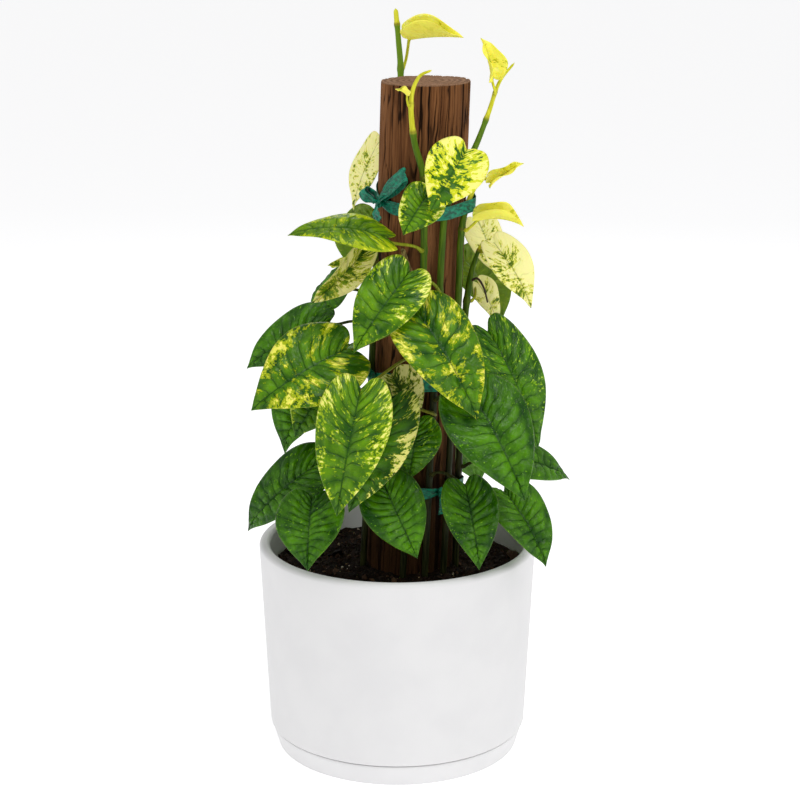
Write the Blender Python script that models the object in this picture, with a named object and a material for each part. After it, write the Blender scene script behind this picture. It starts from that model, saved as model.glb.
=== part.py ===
"""A potted pothos that climbs a round wood post, in a white pot on its saucer.

Metres, +Z up, -Y to the front.  The origin is the centre of the saucer's flat underside.
The plant is laid out round its post: a place on it is (angle, out, height), which is the
angle round the post in degrees from +X, the distance out from the post's surface, and the
height above the soil, all measured along the leaning post.
"""
import math
from dataclasses import dataclass

import bmesh
import bpy
import numpy as np
from mathutils import Matrix, Vector
from mathutils.geometry import convex_hull_2d

# Clearances
GAP = 0.0003                     # between pieces that touch
FACET_ROOM = 0.0005              # more room where one of them is a coarse round

# Pot and saucer
RIM_HEIGHT = 0.193               # top of the rim above the surface it stands on
RIM_RADIUS = 0.125
WALL = 0.010
LIP_ROUND = 0.0048
TAPER = 0.008                    # how much narrower the wall is at its foot
FOOT_ROUND = 0.0015
POT_FLOOR = 0.008
FOOT_RECESS = 0.004              # hollow under the pot's floor
FOOT_RING = 0.012                # width of the ring that the pot stands on
DRAIN_RADIUS = 0.009
SAUCER_HEIGHT = 0.020
SAUCER_WALL = 0.005
SAUCER_FLOOR = 0.006
SAUCER_DRAFT = 0.0050            # how much narrower the saucer is at its underside
SAUCER_ROUND = 0.0025
SEAM = 0.0010                    # the open line between the pot's shoulder and the saucer
FOOT_PLAY = 0.0020               # between the pot's foot and the saucer's wall
TURNED_SIDES = 44

# Soil
HEADSPACE = 0.022                # rim down to the soil
SOIL_CROWN = 0.003               # how much the soil rises from the wall to its middle
DRAIN_HOLLOW = 0.004             # the soil bridges over the drain hole

# Post
POST_RADIUS = 0.0385
POST_HEIGHT = 0.437              # above the soil
SOIL_UNDER_POST = 0.032
POST_FOOT_X = 0.011              # the post stands a little off the pot's centre
POST_LEAN = math.radians(1.8)    # towards +X
POST_TOP_CUT = 0.0030            # the sawn top is this much lower on its -X side
POST_SIDES = 32

# Plant
VINE_RADIUS = 0.0031
TIP_RADIUS = 0.0010
VINE_SIDES = 6
ROOT_RADIUS = 0.0010             # of an aerial root
PETIOLE_RADIUS = 0.0017
PETIOLE_SIDES = 5
PETIOLE_STEPS = 6
HUB_STATION = 0.05               # the stalk meets the midrib just past the notch
BLADE = 0.0009                   # thickness of a leaf
BLADE_STATIONS = 8               # side veins counted from the sinus to the tip
BLADE_RIBS = 2                   # strips from the midrib to the margin

# Ties of stretchy tape
TAPE_WIDTH = 0.0113
TAPE = 0.0006
KNOT = 0.0045
LOOP_OPENING = 0.0038
LOOP_STEPS = 12
TIE_VINE_SIDES = 12              # where the tape bends round a vine
TIE_ROOM = 0.0014                # from the tape to the post and the leaning vines
TIE_EDGES = (-0.6, 0.6)          # heights where it clears a vine, in tape widths from its middle
SHORTEST_FACET = 0.0012

# A dry sheath, from the front vine outwards
SHEATH = [(-93, 0.007, 0.262), (-97, 0.011, 0.272), (-102, 0.014, 0.284), (-107, 0.013, 0.296),
          (-109, 0.009, 0.292)]
SHEATH_WIDTH = 0.004

# Half of a heart-shaped leaf's outline, as (along, across) shares of its length and half width,
# from the notch at the leaf's stalk, back round the lobe, and on to the tip.  The first and the
# last point only steer the curve at its ends.
HALF_OUTLINE = [(0.06, -0.25), (0.0, 0.0), (-0.085, 0.25), (-0.085, 0.58), (0.055, 0.89),
                (0.27, 1.0), (0.52, 0.86), (0.74, 0.54), (0.90, 0.20), (1.0, 0.0), (1.06, -0.05)]

POT_UNDER = SAUCER_FLOOR + GAP + FOOT_RECESS
POT_INSIDE = POT_UNDER + POT_FLOOR
SOIL_TOP = RIM_HEIGHT - HEADSPACE
INNER_RADIUS = RIM_RADIUS - WALL
POST_BURIED = SOIL_TOP - POT_INSIDE - SOIL_UNDER_POST


@dataclass
class Vine:
    """A stem from the soil to its growing tip, through places on the post.  root, where it has
    one, is the course of an aerial root that starts inside the stem."""
    name: str
    places: list
    tip: float = TIP_RADIUS
    root: tuple = ()


@dataclass
class Tie:
    """A band of tape round the post and its vines.  height is on the post's axis, and rise how
    much the band climbs towards +X and towards +Y.  Its knot is at an angle, and from it go
    loops and tails, each given by the place of its far end."""
    name: str
    height: float
    rise: tuple
    knot: float
    loops: tuple = ()
    tails: tuple = ()


@dataclass
class Leaf:
    """One leaf with its stalk.  It leaves its vine at a height, and its blade hangs from base to
    tip.  faces is the angle round the post that the upper side looks to, and sky how far it
    looks up.  arch lifts the middle of the midrib, as a share of the length.  fold is the angle
    of each half at the midrib and curl how far it bends on to the margin, both in degrees.
    via is a place that the stalk passes, where it has to go round another leaf."""
    name: str
    vine: str
    node: float
    base: tuple
    tip: tuple
    width: float
    faces: float
    colour: str = "green"
    sky: float = 0.5
    arch: float = 0.07
    fold: float = 20.0
    curl: float = -30.0
    twist: float = 0.0
    via: tuple = ()


VINES = [
    Vine("vine_front", [(-98, 0.005, 0.003), (-95, 0.005, 0.10), (-88, 0.005, 0.20), (-86, 0.005, 0.26),
                        (-87, 0.005, 0.313), (-89, 0.005, 0.356), (-101, 0.008, 0.390),
                        (-104, 0.013, 0.424), (-98, 0.012, 0.443), (-86, 0.015, 0.450)]),
    Vine("vine_front_right", [(-72, 0.005, 0.003), (-70, 0.005, 0.12), (-67, 0.006, 0.26),
                              (-66, 0.006, 0.297), (-63, 0.006, 0.330), (-48, 0.010, 0.362),
                              (-35, 0.015, 0.385), (-20, 0.019, 0.412), (-11, 0.025, 0.437),
                              (-8, 0.037, 0.454)]),
    Vine("vine_right", [(-46, 0.005, 0.003), (-42, 0.005, 0.15), (-40, 0.006, 0.264),
                        (-40, 0.006, 0.300), (-37, 0.008, 0.328), (-28, 0.013, 0.350),
                        (-24, 0.020, 0.362)]),
    Vine("vine_right_rear", [(-18, 0.005, 0.003), (-20, 0.005, 0.12), (-20, 0.005, 0.22),
                             (-15, 0.007, 0.262), (-11, 0.011, 0.284), (-9, 0.017, 0.300)],
         root=((-15, 0.008, 0.264), (-18, 0.015, 0.267), (-14, 0.020, 0.258), (-10, 0.023, 0.245))),
    Vine("vine_left", [(-163, 0.005, 0.003), (-158, 0.005, 0.10), (-154, 0.005, 0.20),
                       (-150, 0.006, 0.285), (-150, 0.010, 0.305)]),
    Vine("vine_rear_left", [(150, 0.005, 0.003), (142, 0.005, 0.12), (130, 0.005, 0.26),
                            (120, 0.006, 0.38), (117, 0.009, 0.434), (119, 0.012, 0.465),
                            (122, 0.014, 0.492)], 0.0022),
    Vine("vine_rear", [(72, 0.005, 0.003), (78, 0.005, 0.13), (70, 0.005, 0.27), (62, 0.007, 0.345),
                       (56, 0.013, 0.378)]),
]

TIES = [
    Tie("tie_top", 0.3395, (0.06, 0.28), -152, ((-158, 0.016, 0.342), (-106, 0.016, 0.362)),
        ((-137, 0.011, 0.318),)),
    Tie("tie_middle", 0.182, (0.0, 0.10), -146, ((-152, 0.022, 0.192),)),
    Tie("tie_low", 0.078, (0.05, 0.0), -58, (), ((-58, 0.013, 0.060),)),
]

LEAVES = [
    # the crown
    Leaf("leaf_top_flag", "vine_rear_left", 0.440, (110, 0.009, 0.466), (44, 0.006, 0.470), 0.044, -90,
         "pale", 1.4, 0.04, 62, 35),
    Leaf("leaf_top_bud", "vine_front", 0.420, (-106, 0.017, 0.429), (-114, 0.026, 0.434), 0.010, -90,
         "pale", 1.0, 0.10, 60, 60),
    Leaf("leaf_top_right", "vine_front_right", 0.428, (-15, 0.020, 0.441), (-14, 0.008, 0.474), 0.032, -70,
         "pale", 0.6, 0.10, 38, 45),
    Leaf("leaf_heart", "vine_front_right", 0.376, (-61, 0.034, 0.386), (-86, 0.047, 0.337), 0.052, -80,
         "lime", 0.7, 0.08, 12, -25),
    Leaf("leaf_under_heart", "vine_front", 0.358, (-84, 0.022, 0.350), (-102, 0.038, 0.314), 0.040, -95,
         "marbled", 0.6, 0.10, 10, -40),
    Leaf("leaf_rear_cream", "vine_rear_left", 0.378, (128, 0.024, 0.374), (140, 0.040, 0.312), 0.046, -150,
         "cream", 0.2, 0.06, 15, -25),
    # left side
    Leaf("leaf_left_long", "vine_front", 0.296, (-117, 0.026, 0.308), (-150, 0.092, 0.309), 0.045, -100,
         "olive", 1.8, 0.12, 12, -35),
    Leaf("leaf_left_curl", "vine_left", 0.262, (-172, 0.019, 0.270), (-178, 0.042, 0.272), 0.020, -90,
         "cream", 0.7, 0.10, 45, 40),
    Leaf("leaf_left_narrow", "vine_left", 0.280, (-150, 0.016, 0.292), (-163, 0.059, 0.243), 0.036, -60,
         "cream", 0.3, 0.10, 35, 20),
    Leaf("leaf_left_dark", "vine_rear_left", 0.234, (168, 0.026, 0.250), (160, 0.064, 0.226), 0.050, -150,
         "green", 0.8, 0.08),
    Leaf("leaf_marbled", "vine_front_right", 0.260, (-97, 0.036, 0.283), (-117, 0.081, 0.219), 0.056, -98,
         "marbled", 0.6, 0.07, 18, -25),
    Leaf("leaf_left_patched", "vine_front", 0.222, (-130, 0.055, 0.214), (-145, 0.132, 0.164), 0.080, -100,
         "patched", 0.75, 0.10, 14, -30),
    Leaf("leaf_left_plain", "vine_rear_left", 0.205, (-168, 0.040, 0.224), (-172, 0.112, 0.181), 0.054, -110,
         "green", 0.8, 0.10, 16, -30),
    Leaf("leaf_left_low_plain", "vine_left", 0.160, (-164, 0.052, 0.181), (-156, 0.085, 0.113), 0.060, -125,
         "green", 0.5, 0.08, 18, -25),
    Leaf("leaf_left_marbled", "vine_left", 0.142, (-135, 0.056, 0.196), (-142, 0.092, 0.137), 0.060, -110,
         "marbled", 0.5, 0.06, 15, -25),
    # front
    Leaf("leaf_big_front", "vine_front", 0.204, (-113, 0.082, 0.190), (-114, 0.119, 0.087), 0.064, -95,
         "marbled", 0.6, 0.08, 14, -30, via=(-101, 0.040, 0.205)),
    Leaf("leaf_front_cream", "vine_front", 0.164, (-110, 0.024, 0.189), (-89, 0.027, 0.150), 0.044, -85,
         "cream", 0.3, 0.06, 14, -25),
    Leaf("leaf_front_marbled", "vine_front_right", 0.152, (-104, 0.046, 0.176), (-117, 0.082, 0.079), 0.062,
         -85, "marbled", 0.4, 0.05, 14, -25, via=(-79, 0.038, 0.160)),
    Leaf("leaf_front_small", "vine_front", 0.120, (-88, 0.018, 0.149), (-94, 0.028, 0.097), 0.046, -80,
         "flecked", 0.4, 0.06, 12, -25),
    Leaf("leaf_centre_patched", "vine_front_right", 0.240, (-93, 0.040, 0.252), (-66, 0.088, 0.166), 0.072,
         -75, "patched", 0.75, 0.09, 18, -30),
    Leaf("leaf_right_dark", "vine_right_rear", 0.204, (-28, 0.030, 0.224), (-24, 0.080, 0.123), 0.062, -65,
         "flecked", 0.6, 0.09, 16, -30),
    Leaf("leaf_big_right", "vine_front_right", 0.164, (-63, 0.060, 0.185), (-54, 0.120, 0.101), 0.076, -80,
         "green", 0.75, 0.09, 14, -30),
    # low
    Leaf("leaf_low_far_right", "vine_right_rear", 0.096, (-24, 0.034, 0.110), (2, 0.104, 0.080), 0.050, -90,
         "green", 1.5, 0.10, 16, -30),
    Leaf("leaf_low_far_left", "vine_left", 0.100, (-152, 0.052, 0.104), (-168, 0.110, 0.034), 0.056, -115,
         "green", 0.8, 0.12, 18, -30),
    Leaf("leaf_low_left", "vine_left", 0.058, (-137, 0.080, 0.084), (-127, 0.108, 0.029), 0.062, -105,
         "green", 0.45, 0.08, 14, -25),
    Leaf("leaf_low_front", "vine_front", 0.096, (-108, 0.046, 0.098), (-87, 0.064, 0.038), 0.056, -95,
         "green", 0.5, 0.08, 16, -25),
    Leaf("leaf_low_right", "vine_front_right", 0.096, (-60, 0.050, 0.098), (-62, 0.086, 0.032), 0.050, -80,
         "green", 0.5, 0.08, 18, -25),
    Leaf("leaf_low_right_side", "vine_right", 0.060, (-38, 0.062, 0.088), (-38, 0.110, 0.030), 0.054, -60,
         "green", 0.6, 0.10, 18, -25),
    # right side
    Leaf("leaf_right_rolled", "vine_right", 0.356, (-21, 0.024, 0.352), (-14, 0.050, 0.370), 0.024, -70,
         "pale", 0.8, 0.08, 50, 40),
    Leaf("leaf_right_curled", "vine_right", 0.312, (-37, 0.020, 0.322), (-20, 0.055, 0.317), 0.036, -60,
         "pale", 1.2, 0.14, 48, 55),
    Leaf("leaf_right_cream", "vine_rear", 0.298, (36, 0.024, 0.309), (20, 0.036, 0.262), 0.040, -60,
         "cream", 0.3, 0.06, 12, -20),
    Leaf("leaf_right_pale", "vine_right_rear", 0.290, (-10, 0.026, 0.298), (-12, 0.062, 0.243), 0.042, -60,
         "cream", 0.4, 0.09, 20, -20),
    Leaf("leaf_right_olive", "vine_right_rear", 0.246, (10, 0.014, 0.258), (14, 0.034, 0.220), 0.028, -50,
         "cream", 0.3, 0.08, 25, -20),
    # back
    Leaf("leaf_back_high", "vine_rear", 0.336, (82, 0.034, 0.348), (98, 0.058, 0.292), 0.050, 90,
         "lime", 0.5, 0.08, 16, -25),
    Leaf("leaf_back_upper_middle", "vine_rear", 0.240, (92, 0.044, 0.278), (96, 0.084, 0.208), 0.058, 92,
         "marbled", 0.6, 0.09, 16, -28),
    Leaf("leaf_back_centre", "vine_rear", 0.112, (96, 0.050, 0.136), (98, 0.104, 0.066), 0.066, 96,
         "green", 0.6, 0.09, 16, -28),
    Leaf("leaf_back_upper_left", "vine_rear_left", 0.300, (124, 0.036, 0.312), (118, 0.078, 0.240), 0.062,
         120, "marbled", 0.6, 0.09, 16, -28),
    Leaf("leaf_back_upper_right", "vine_rear", 0.262, (62, 0.040, 0.274), (50, 0.084, 0.200), 0.066, 58,
         "patched", 0.6, 0.09, 16, -28),
    Leaf("leaf_back_middle", "vine_rear", 0.206, (90, 0.046, 0.224), (92, 0.098, 0.140), 0.074, 92,
         "flecked", 0.6, 0.09, 15, -28),
    Leaf("leaf_back_left", "vine_rear_left", 0.168, (140, 0.046, 0.184), (146, 0.104, 0.106), 0.070, 142,
         "green", 0.6, 0.09, 16, -28),
    Leaf("leaf_back_right", "vine_rear", 0.148, (44, 0.048, 0.166), (34, 0.106, 0.092), 0.070, 38,
         "green", 0.6, 0.09, 16, -28),
    Leaf("leaf_back_low_left", "vine_rear_left", 0.058, (122, 0.050, 0.092), (118, 0.104, 0.034), 0.060, 120,
         "green", 0.6, 0.10, 16, -28),
    Leaf("leaf_back_low_right", "vine_rear", 0.056, (70, 0.050, 0.090), (62, 0.104, 0.034), 0.060, 66,
         "green", 0.6, 0.10, 16, -28),
]

COLOURS = {
    "pot": (0.86, 0.86, 0.85), "soil": (0.055, 0.040, 0.030), "post": (0.16, 0.075, 0.050),
    "stem": (0.20, 0.30, 0.06), "tape": (0.0, 0.22, 0.17), "dry": (0.30, 0.19, 0.09),
    "pale": (0.72, 0.74, 0.20), "lime": (0.50, 0.58, 0.08), "cream": (0.72, 0.72, 0.42),
    "olive": (0.22, 0.34, 0.03),
    "marbled": (0.36, 0.45, 0.12), "patched": (0.40, 0.48, 0.10), "flecked": (0.13, 0.28, 0.05),
    "green": (0.05, 0.18, 0.035),
}
ROUGHNESS = {"pot": 0.45, "soil": 0.95, "post": 0.9, "tape": 0.35, "dry": 0.8}
LEAF_ROUGHNESS = 0.4


def material(name):
    """One Principled material for each colour, made once."""
    found = bpy.data.materials.get(name)
    if found:
        return found
    made = bpy.data.materials.new(name)
    made.use_nodes = True
    shader = made.node_tree.nodes["Principled BSDF"]
    shader.inputs["Base Color"].default_value = (*COLOURS[name], 1.0)
    shader.inputs["Roughness"].default_value = ROUGHNESS.get(name, LEAF_ROUGHNESS)
    shader.inputs["Metallic"].default_value = 0.0
    return made


def solid(name, verts, faces, colour, parent=None):
    """A closed mesh object with its faces turned outwards."""
    mesh = bpy.data.meshes.new(name)
    mesh.from_pydata([tuple(v) for v in verts], [], faces)
    work = bmesh.new()
    work.from_mesh(mesh)
    bmesh.ops.recalc_face_normals(work, faces=work.faces)
    if work.calc_volume(signed=True) < 0:
        bmesh.ops.reverse_faces(work, faces=work.faces)
    work.to_mesh(mesh)
    work.free()
    mesh.shade_smooth()
    mesh.set_sharp_from_angle(angle=math.radians(35))
    mesh.materials.append(material(colour))
    piece = bpy.data.objects.new(name, mesh)
    piece.parent = parent
    bpy.context.collection.objects.link(piece)
    return piece


def combine(piece, others, operation, solver="EXACT"):
    """Join the other solids to a piece, or cut them from it, and remove them.  The blades and
    tapes are thinner than what joins them, and only the MANIFOLD solver closes such a joint."""
    for other in others:
        modifier = piece.modifiers.new(operation, "BOOLEAN")
        modifier.operation = operation
        modifier.solver = solver
        modifier.object = other
    bpy.context.view_layer.update()
    shaped = piece.evaluated_get(bpy.context.evaluated_depsgraph_get())
    mesh = bpy.data.meshes.new_from_object(shaped)
    piece.modifiers.clear()
    piece.data = mesh
    mesh.name = piece.name
    for other in others:
        bpy.data.objects.remove(other)
    return piece


def arc(centre, radius, start, end, steps):
    """Points of an arc in a turned profile, with angles in degrees."""
    angles = np.radians(np.linspace(start, end, steps + 1))
    return [(centre[0] + radius * math.cos(a), centre[1] + radius * math.sin(a)) for a in angles]


def turned(name, profile, colour, closed, sides=TURNED_SIDES):
    """A profile of (radius, height) turned about Z.  A closed profile makes a ring.  An open one
    makes a solid with a flat cap at each end."""
    angles = np.linspace(0.0, 2 * math.pi, sides, endpoint=False)
    rows = np.array([[(r * math.cos(a), r * math.sin(a), z) for a in angles] for r, z in profile])
    count = len(profile)
    faces = []
    for row in range(count if closed else count - 1):
        low, high = row * sides, ((row + 1) % count) * sides
        for side in range(sides):
            after = (side + 1) % sides
            faces.append((low + side, low + after, high + after, high + side))
    if not closed:
        faces.append(tuple(range(sides))[::-1])
        faces.append(tuple((count - 1) * sides + side for side in range(sides)))
    return solid(name, rows.reshape(-1, 3), faces, colour)


def on_post(angle, out, height):
    """A place on the plant, in the post's own frame."""
    turn = math.radians(angle)
    reach = POST_RADIUS + out
    return Vector((reach * math.cos(turn), reach * math.sin(turn), height))


def spline(before, start, end, after, t):
    """A point of a Catmull-Rom span, which runs from start to end as t runs from 0 to 1."""
    return 0.5 * (2 * start + (end - before) * t + (2 * before - 5 * start + 4 * end - after) * t ** 2
                  + (3 * start - before - 3 * end + after) * t ** 3)


def smooth(points, steps):
    """A Catmull-Rom curve through the points, with the same number of steps in each span."""
    ends = [2 * points[0] - points[1], *points, 2 * points[-1] - points[-2]]
    curve = []
    for before, start, end, after in zip(ends, ends[1:], ends[2:], ends[3:]):
        curve += [spline(before, start, end, after, step / steps) for step in range(steps)]
    return curve + [points[-1]]


def tube(name, path, radii, sides, colour, parent):
    """A round stem along a path, with a radius at each point and flat ends."""
    rings = []
    across = None
    for index, point in enumerate(path):
        along = (path[min(index + 1, len(path) - 1)] - path[max(index - 1, 0)]).normalized()
        if across is None:
            across = along.orthogonal().normalized()
        across = (across - along * across.dot(along)).normalized()
        third = along.cross(across)
        for side in range(sides):
            turn = 2 * math.pi * side / sides
            rings.append(point + radii[index] * (math.cos(turn) * across + math.sin(turn) * third))
    faces = []
    for index in range(len(path) - 1):
        for side in range(sides):
            after = (side + 1) % sides
            low, high = index * sides, (index + 1) * sides
            faces.append((low + side, low + after, high + after, high + side))
    faces.append(tuple(range(sides))[::-1])
    faces.append(tuple((len(path) - 1) * sides + side for side in range(sides)))
    return solid(name, rings, faces, colour, parent)


def outline(share):
    """A point of the half outline, where share runs from 0 at the notch to 1 at the tip."""
    spans = len(HALF_OUTLINE) - 3
    span = min(int(share * spans), spans - 1)
    keys = [Vector((*key, 0.0)) for key in HALF_OUTLINE[span:span + 4]]
    return spline(*keys, share * spans - span)


def blade_point(leaf, length, station, rib):
    """A point of the blade in its own frame: X from the notch to the tip, Y across it, Z up.

    station runs from 0 at the notch to 1 at the tip, and rib from -1 at one margin to 1 at the
    other.  A side vein leaves the midrib squarely and sweeps to its place on the margin."""
    edge = outline(station)
    middle = station ** 1.25
    away = abs(rib)
    along = middle + (edge.x - middle) * away ** 1.35
    half = leaf.width / 2
    flat = max(edge.y, 0.0) * half * away
    fold = math.radians(leaf.fold)
    bend = math.radians(leaf.curl) / half or 1e-6
    across = math.copysign((math.sin(fold + bend * flat) - math.sin(fold)) / bend, rib)
    up = (math.cos(fold) - math.cos(fold + bend * flat)) / bend
    point = Vector((along * length, across, up))
    point.rotate(Matrix.Rotation(math.radians(leaf.twist) * along, 3, "X"))
    point.z += 4 * leaf.arch * length * along * (1 - along)
    return point


def blade_frame(leaf):
    """The blade's place and axes in the post's frame, and its length."""
    base, tip = on_post(*leaf.base), on_post(*leaf.tip)
    along = (tip - base).normalized()
    turn = math.radians(leaf.faces)
    up = Vector((math.cos(turn), math.sin(turn), leaf.sky))
    up = (up - along * up.dot(along)).normalized()
    across = up.cross(along)
    turned_to = Matrix((along, across, up)).transposed().to_4x4()
    return Matrix.Translation(base) @ turned_to, (tip - base).length


def blade_skins(leaf, length):
    """The upper and the lower skin of a blade, each a row of points for each station."""
    ribs = np.linspace(-1.0, 1.0, 2 * BLADE_RIBS + 1)
    stations = np.linspace(0.0, 1.0, BLADE_STATIONS + 1)
    nudge = 1e-3
    skins = []
    for side in (1, -1):
        skin = []
        for station in stations:
            inner = min(max(station, 0.02), 0.98)
            for rib in ribs:
                centre = blade_point(leaf, length, station, rib)
                ahead = blade_point(leaf, length, inner + nudge, rib) \
                    - blade_point(leaf, length, inner - nudge, rib)
                beside = blade_point(leaf, length, inner, rib + nudge) \
                    - blade_point(leaf, length, inner, rib - nudge)
                normal = ahead.cross(beside).normalized()
                skin.append(centre + side * BLADE / 2 * normal)
        skins.append(skin)
    return skins


def leaf_faces(columns, rows):
    """Faces of the two skins and the rim.  The first and last rows are one point each."""
    start, end = 0, 1 + (rows - 1) * columns
    skin = end + 1

    def at(row, column, side):
        inside = 1 + (row - 1) * columns + column
        return side * skin + (start if row == 0 else end if row == rows else inside)

    faces = []
    for side in (0, 1):
        for row in range(rows):
            for column in range(columns - 1):
                corners = [at(row, column, side), at(row + 1, column, side),
                           at(row + 1, column + 1, side), at(row, column + 1, side)]
                faces.append(tuple(dict.fromkeys(corners)))
    for column in (0, columns - 1):
        for row in range(rows):
            faces.append((at(row, column, 0), at(row + 1, column, 0),
                          at(row + 1, column, 1), at(row, column, 1)))
    return faces


def build_leaf(leaf, routes, parent):
    """A leaf: its blade and the stalk that carries it, as one solid."""
    place, length = blade_frame(leaf)
    skins = blade_skins(leaf, length)
    columns, rows = 2 * BLADE_RIBS + 1, BLADE_STATIONS
    verts = []
    for skin in skins:
        verts.append(skin[BLADE_RIBS])
        verts += skin[columns:rows * columns]
        verts.append(skin[rows * columns + BLADE_RIBS])
    verts = [place @ v for v in verts]
    piece = solid(leaf.name, verts, leaf_faces(columns, rows), leaf.colour, parent)

    along = place.to_3x3() @ Vector((1, 0, 0))
    up = place.to_3x3() @ Vector((0, 0, 1))
    hub = place @ blade_point(leaf, length, HUB_STATION, 0.0)
    stem = stem_at(routes[leaf.vine], leaf.node)
    outward = Vector((stem.x, stem.y, 0)).normalized()
    aside = Vector((hub.x - stem.x, hub.y - stem.y, 0)).normalized()
    leave = (aside + outward).normalized()
    foot = stem + leave * (VINE_RADIUS + GAP + FACET_ROOM)
    heel = foot + leave * PETIOLE_RADIUS
    reach = (hub - heel).length
    if leaf.via:
        path = [foot] + smooth([heel, on_post(*leaf.via), hub], PETIOLE_STEPS // 2)
    else:
        rise = heel + 0.35 * reach * leave + Vector((0, 0, 0.3 * reach))
        meet = hub - 0.32 * reach * up - 0.12 * reach * along
        path = [foot] + [bezier(heel, rise, meet, hub, step / PETIOLE_STEPS)
                         for step in range(PETIOLE_STEPS + 1)]
    stalk = tube(leaf.name + "_stalk", path, [PETIOLE_RADIUS] * len(path), PETIOLE_SIDES,
                 leaf.colour, parent)
    return combine(piece, [stalk], "UNION", "MANIFOLD")


def bezier(start, leave, meet, end, t):
    """A point of a cubic curve that sets out towards leave and comes in from meet."""
    rest = 1 - t
    return rest ** 3 * start + 3 * rest ** 2 * t * leave + 3 * rest * t ** 2 * meet + t ** 3 * end


def stem_at(route, height):
    """The point of a vine at a height above the soil."""
    for low, high in zip(route, route[1:]):
        if low.z <= height <= high.z:
            return low.lerp(high, (height - low.z) / (high.z - low.z))
    return route[-1]


def build_vines(parent):
    """Each vine's route, and its stem that thins towards the tip."""
    routes = {}
    for vine in VINES:
        route = smooth([on_post(*place) for place in vine.places], 2)
        routes[vine.name] = route
        count = len(route)
        radii = [VINE_RADIUS + (vine.tip - VINE_RADIUS) * max(0.0, i / (count - 1) - 0.6) / 0.4
                 for i in range(count)]
        stem = tube(vine.name, route, radii, VINE_SIDES, "stem", parent)
        if vine.root:
            path = smooth([on_post(*place) for place in vine.root], 2)
            thin = [ROOT_RADIUS] * len(path)
            combine(stem, [tube(vine.name + "_root", path, thin, PETIOLE_SIDES, "stem", parent)],
                    "UNION", "MANIFOLD")
    return routes


def build_pot():
    """The pot: one turned wall and floor, with a foot that stands inside the saucer."""
    stand = SAUCER_FLOOR + GAP
    seam = SAUCER_HEIGHT + SEAM
    wall_foot = RIM_RADIUS - TAPER
    foot = wall_foot - FOOT_ROUND - SAUCER_WALL - FOOT_PLAY
    lip = RIM_HEIGHT - LIP_ROUND
    profile = [(DRAIN_RADIUS, POT_UNDER), (foot - FOOT_RING, POT_UNDER), (foot - FOOT_RING + 0.002, stand),
               (foot, stand), (foot, seam)]
    profile += arc((wall_foot - FOOT_ROUND, seam + FOOT_ROUND), FOOT_ROUND, -90, 0, 2)
    profile += arc((RIM_RADIUS - LIP_ROUND, lip), LIP_ROUND, 0, 90, 3)
    profile += arc((INNER_RADIUS + LIP_ROUND, lip), LIP_ROUND, 90, 180, 2)
    profile += [(wall_foot - WALL, POT_INSIDE), (DRAIN_RADIUS, POT_INSIDE)]
    return turned("pot", profile, "pot", True)


def build_saucer():
    """The saucer: a shallow dish as wide as the pot's foot, flat underneath."""
    top = RIM_RADIUS - TAPER - FOOT_ROUND
    bottom = top - SAUCER_DRAFT
    inner = top - SAUCER_WALL
    profile = [(bottom - SAUCER_ROUND, 0.0)]
    profile += arc((bottom - SAUCER_ROUND, SAUCER_ROUND), SAUCER_ROUND, -45, 0, 1)
    profile += [(top, SAUCER_HEIGHT), (inner, SAUCER_HEIGHT), (inner, SAUCER_FLOOR)]
    return turned("saucer", profile, "pot", False)


def build_soil(totem):
    """The soil fills the pot up to the headspace and has a socket for the post."""
    floor = POT_INSIDE + GAP
    wall_foot = RIM_RADIUS - TAPER - WALL
    share = (SOIL_TOP - floor) / (RIM_HEIGHT - LIP_ROUND - floor)
    top_radius = wall_foot + (INNER_RADIUS - wall_foot) * share - GAP - FACET_ROOM
    low_radius = wall_foot - GAP - FACET_ROOM
    profile = [(2 * DRAIN_RADIUS, floor), (low_radius, floor), (top_radius, SOIL_TOP - SOIL_CROWN),
               (0.72 * top_radius, SOIL_TOP - 0.3 * SOIL_CROWN), (0.5 * top_radius, SOIL_TOP)]
    hollow = [(1.4 * DRAIN_RADIUS, floor + DRAIN_HOLLOW)]
    soil = turned("soil", hollow + profile, "soil", False)
    socket = post_solid("post_socket", GAP + FACET_ROOM, totem)
    bpy.context.view_layer.update()
    return combine(soil, [socket], "DIFFERENCE")


def post_solid(name, grow, parent):
    """The round post, or the same shape grown by a clearance, in the leaning frame."""
    radius = POST_RADIUS + grow
    rows = [-POST_BURIED - grow, POST_HEIGHT + grow]
    verts = []
    for row, height in enumerate(rows):
        for side in range(POST_SIDES):
            turn = 2 * math.pi * side / POST_SIDES
            cut = POST_TOP_CUT * (math.cos(turn) - 1) / 2 if row else 0.0
            verts.append((radius * math.cos(turn), radius * math.sin(turn), height + cut))
    faces = [(side, (side + 1) % POST_SIDES, POST_SIDES + (side + 1) % POST_SIDES, POST_SIDES + side)
             for side in range(POST_SIDES)]
    faces.append(tuple(range(POST_SIDES))[::-1])
    faces.append(tuple(range(POST_SIDES, 2 * POST_SIDES)))
    return solid(name, verts, faces, "post", parent)


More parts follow.
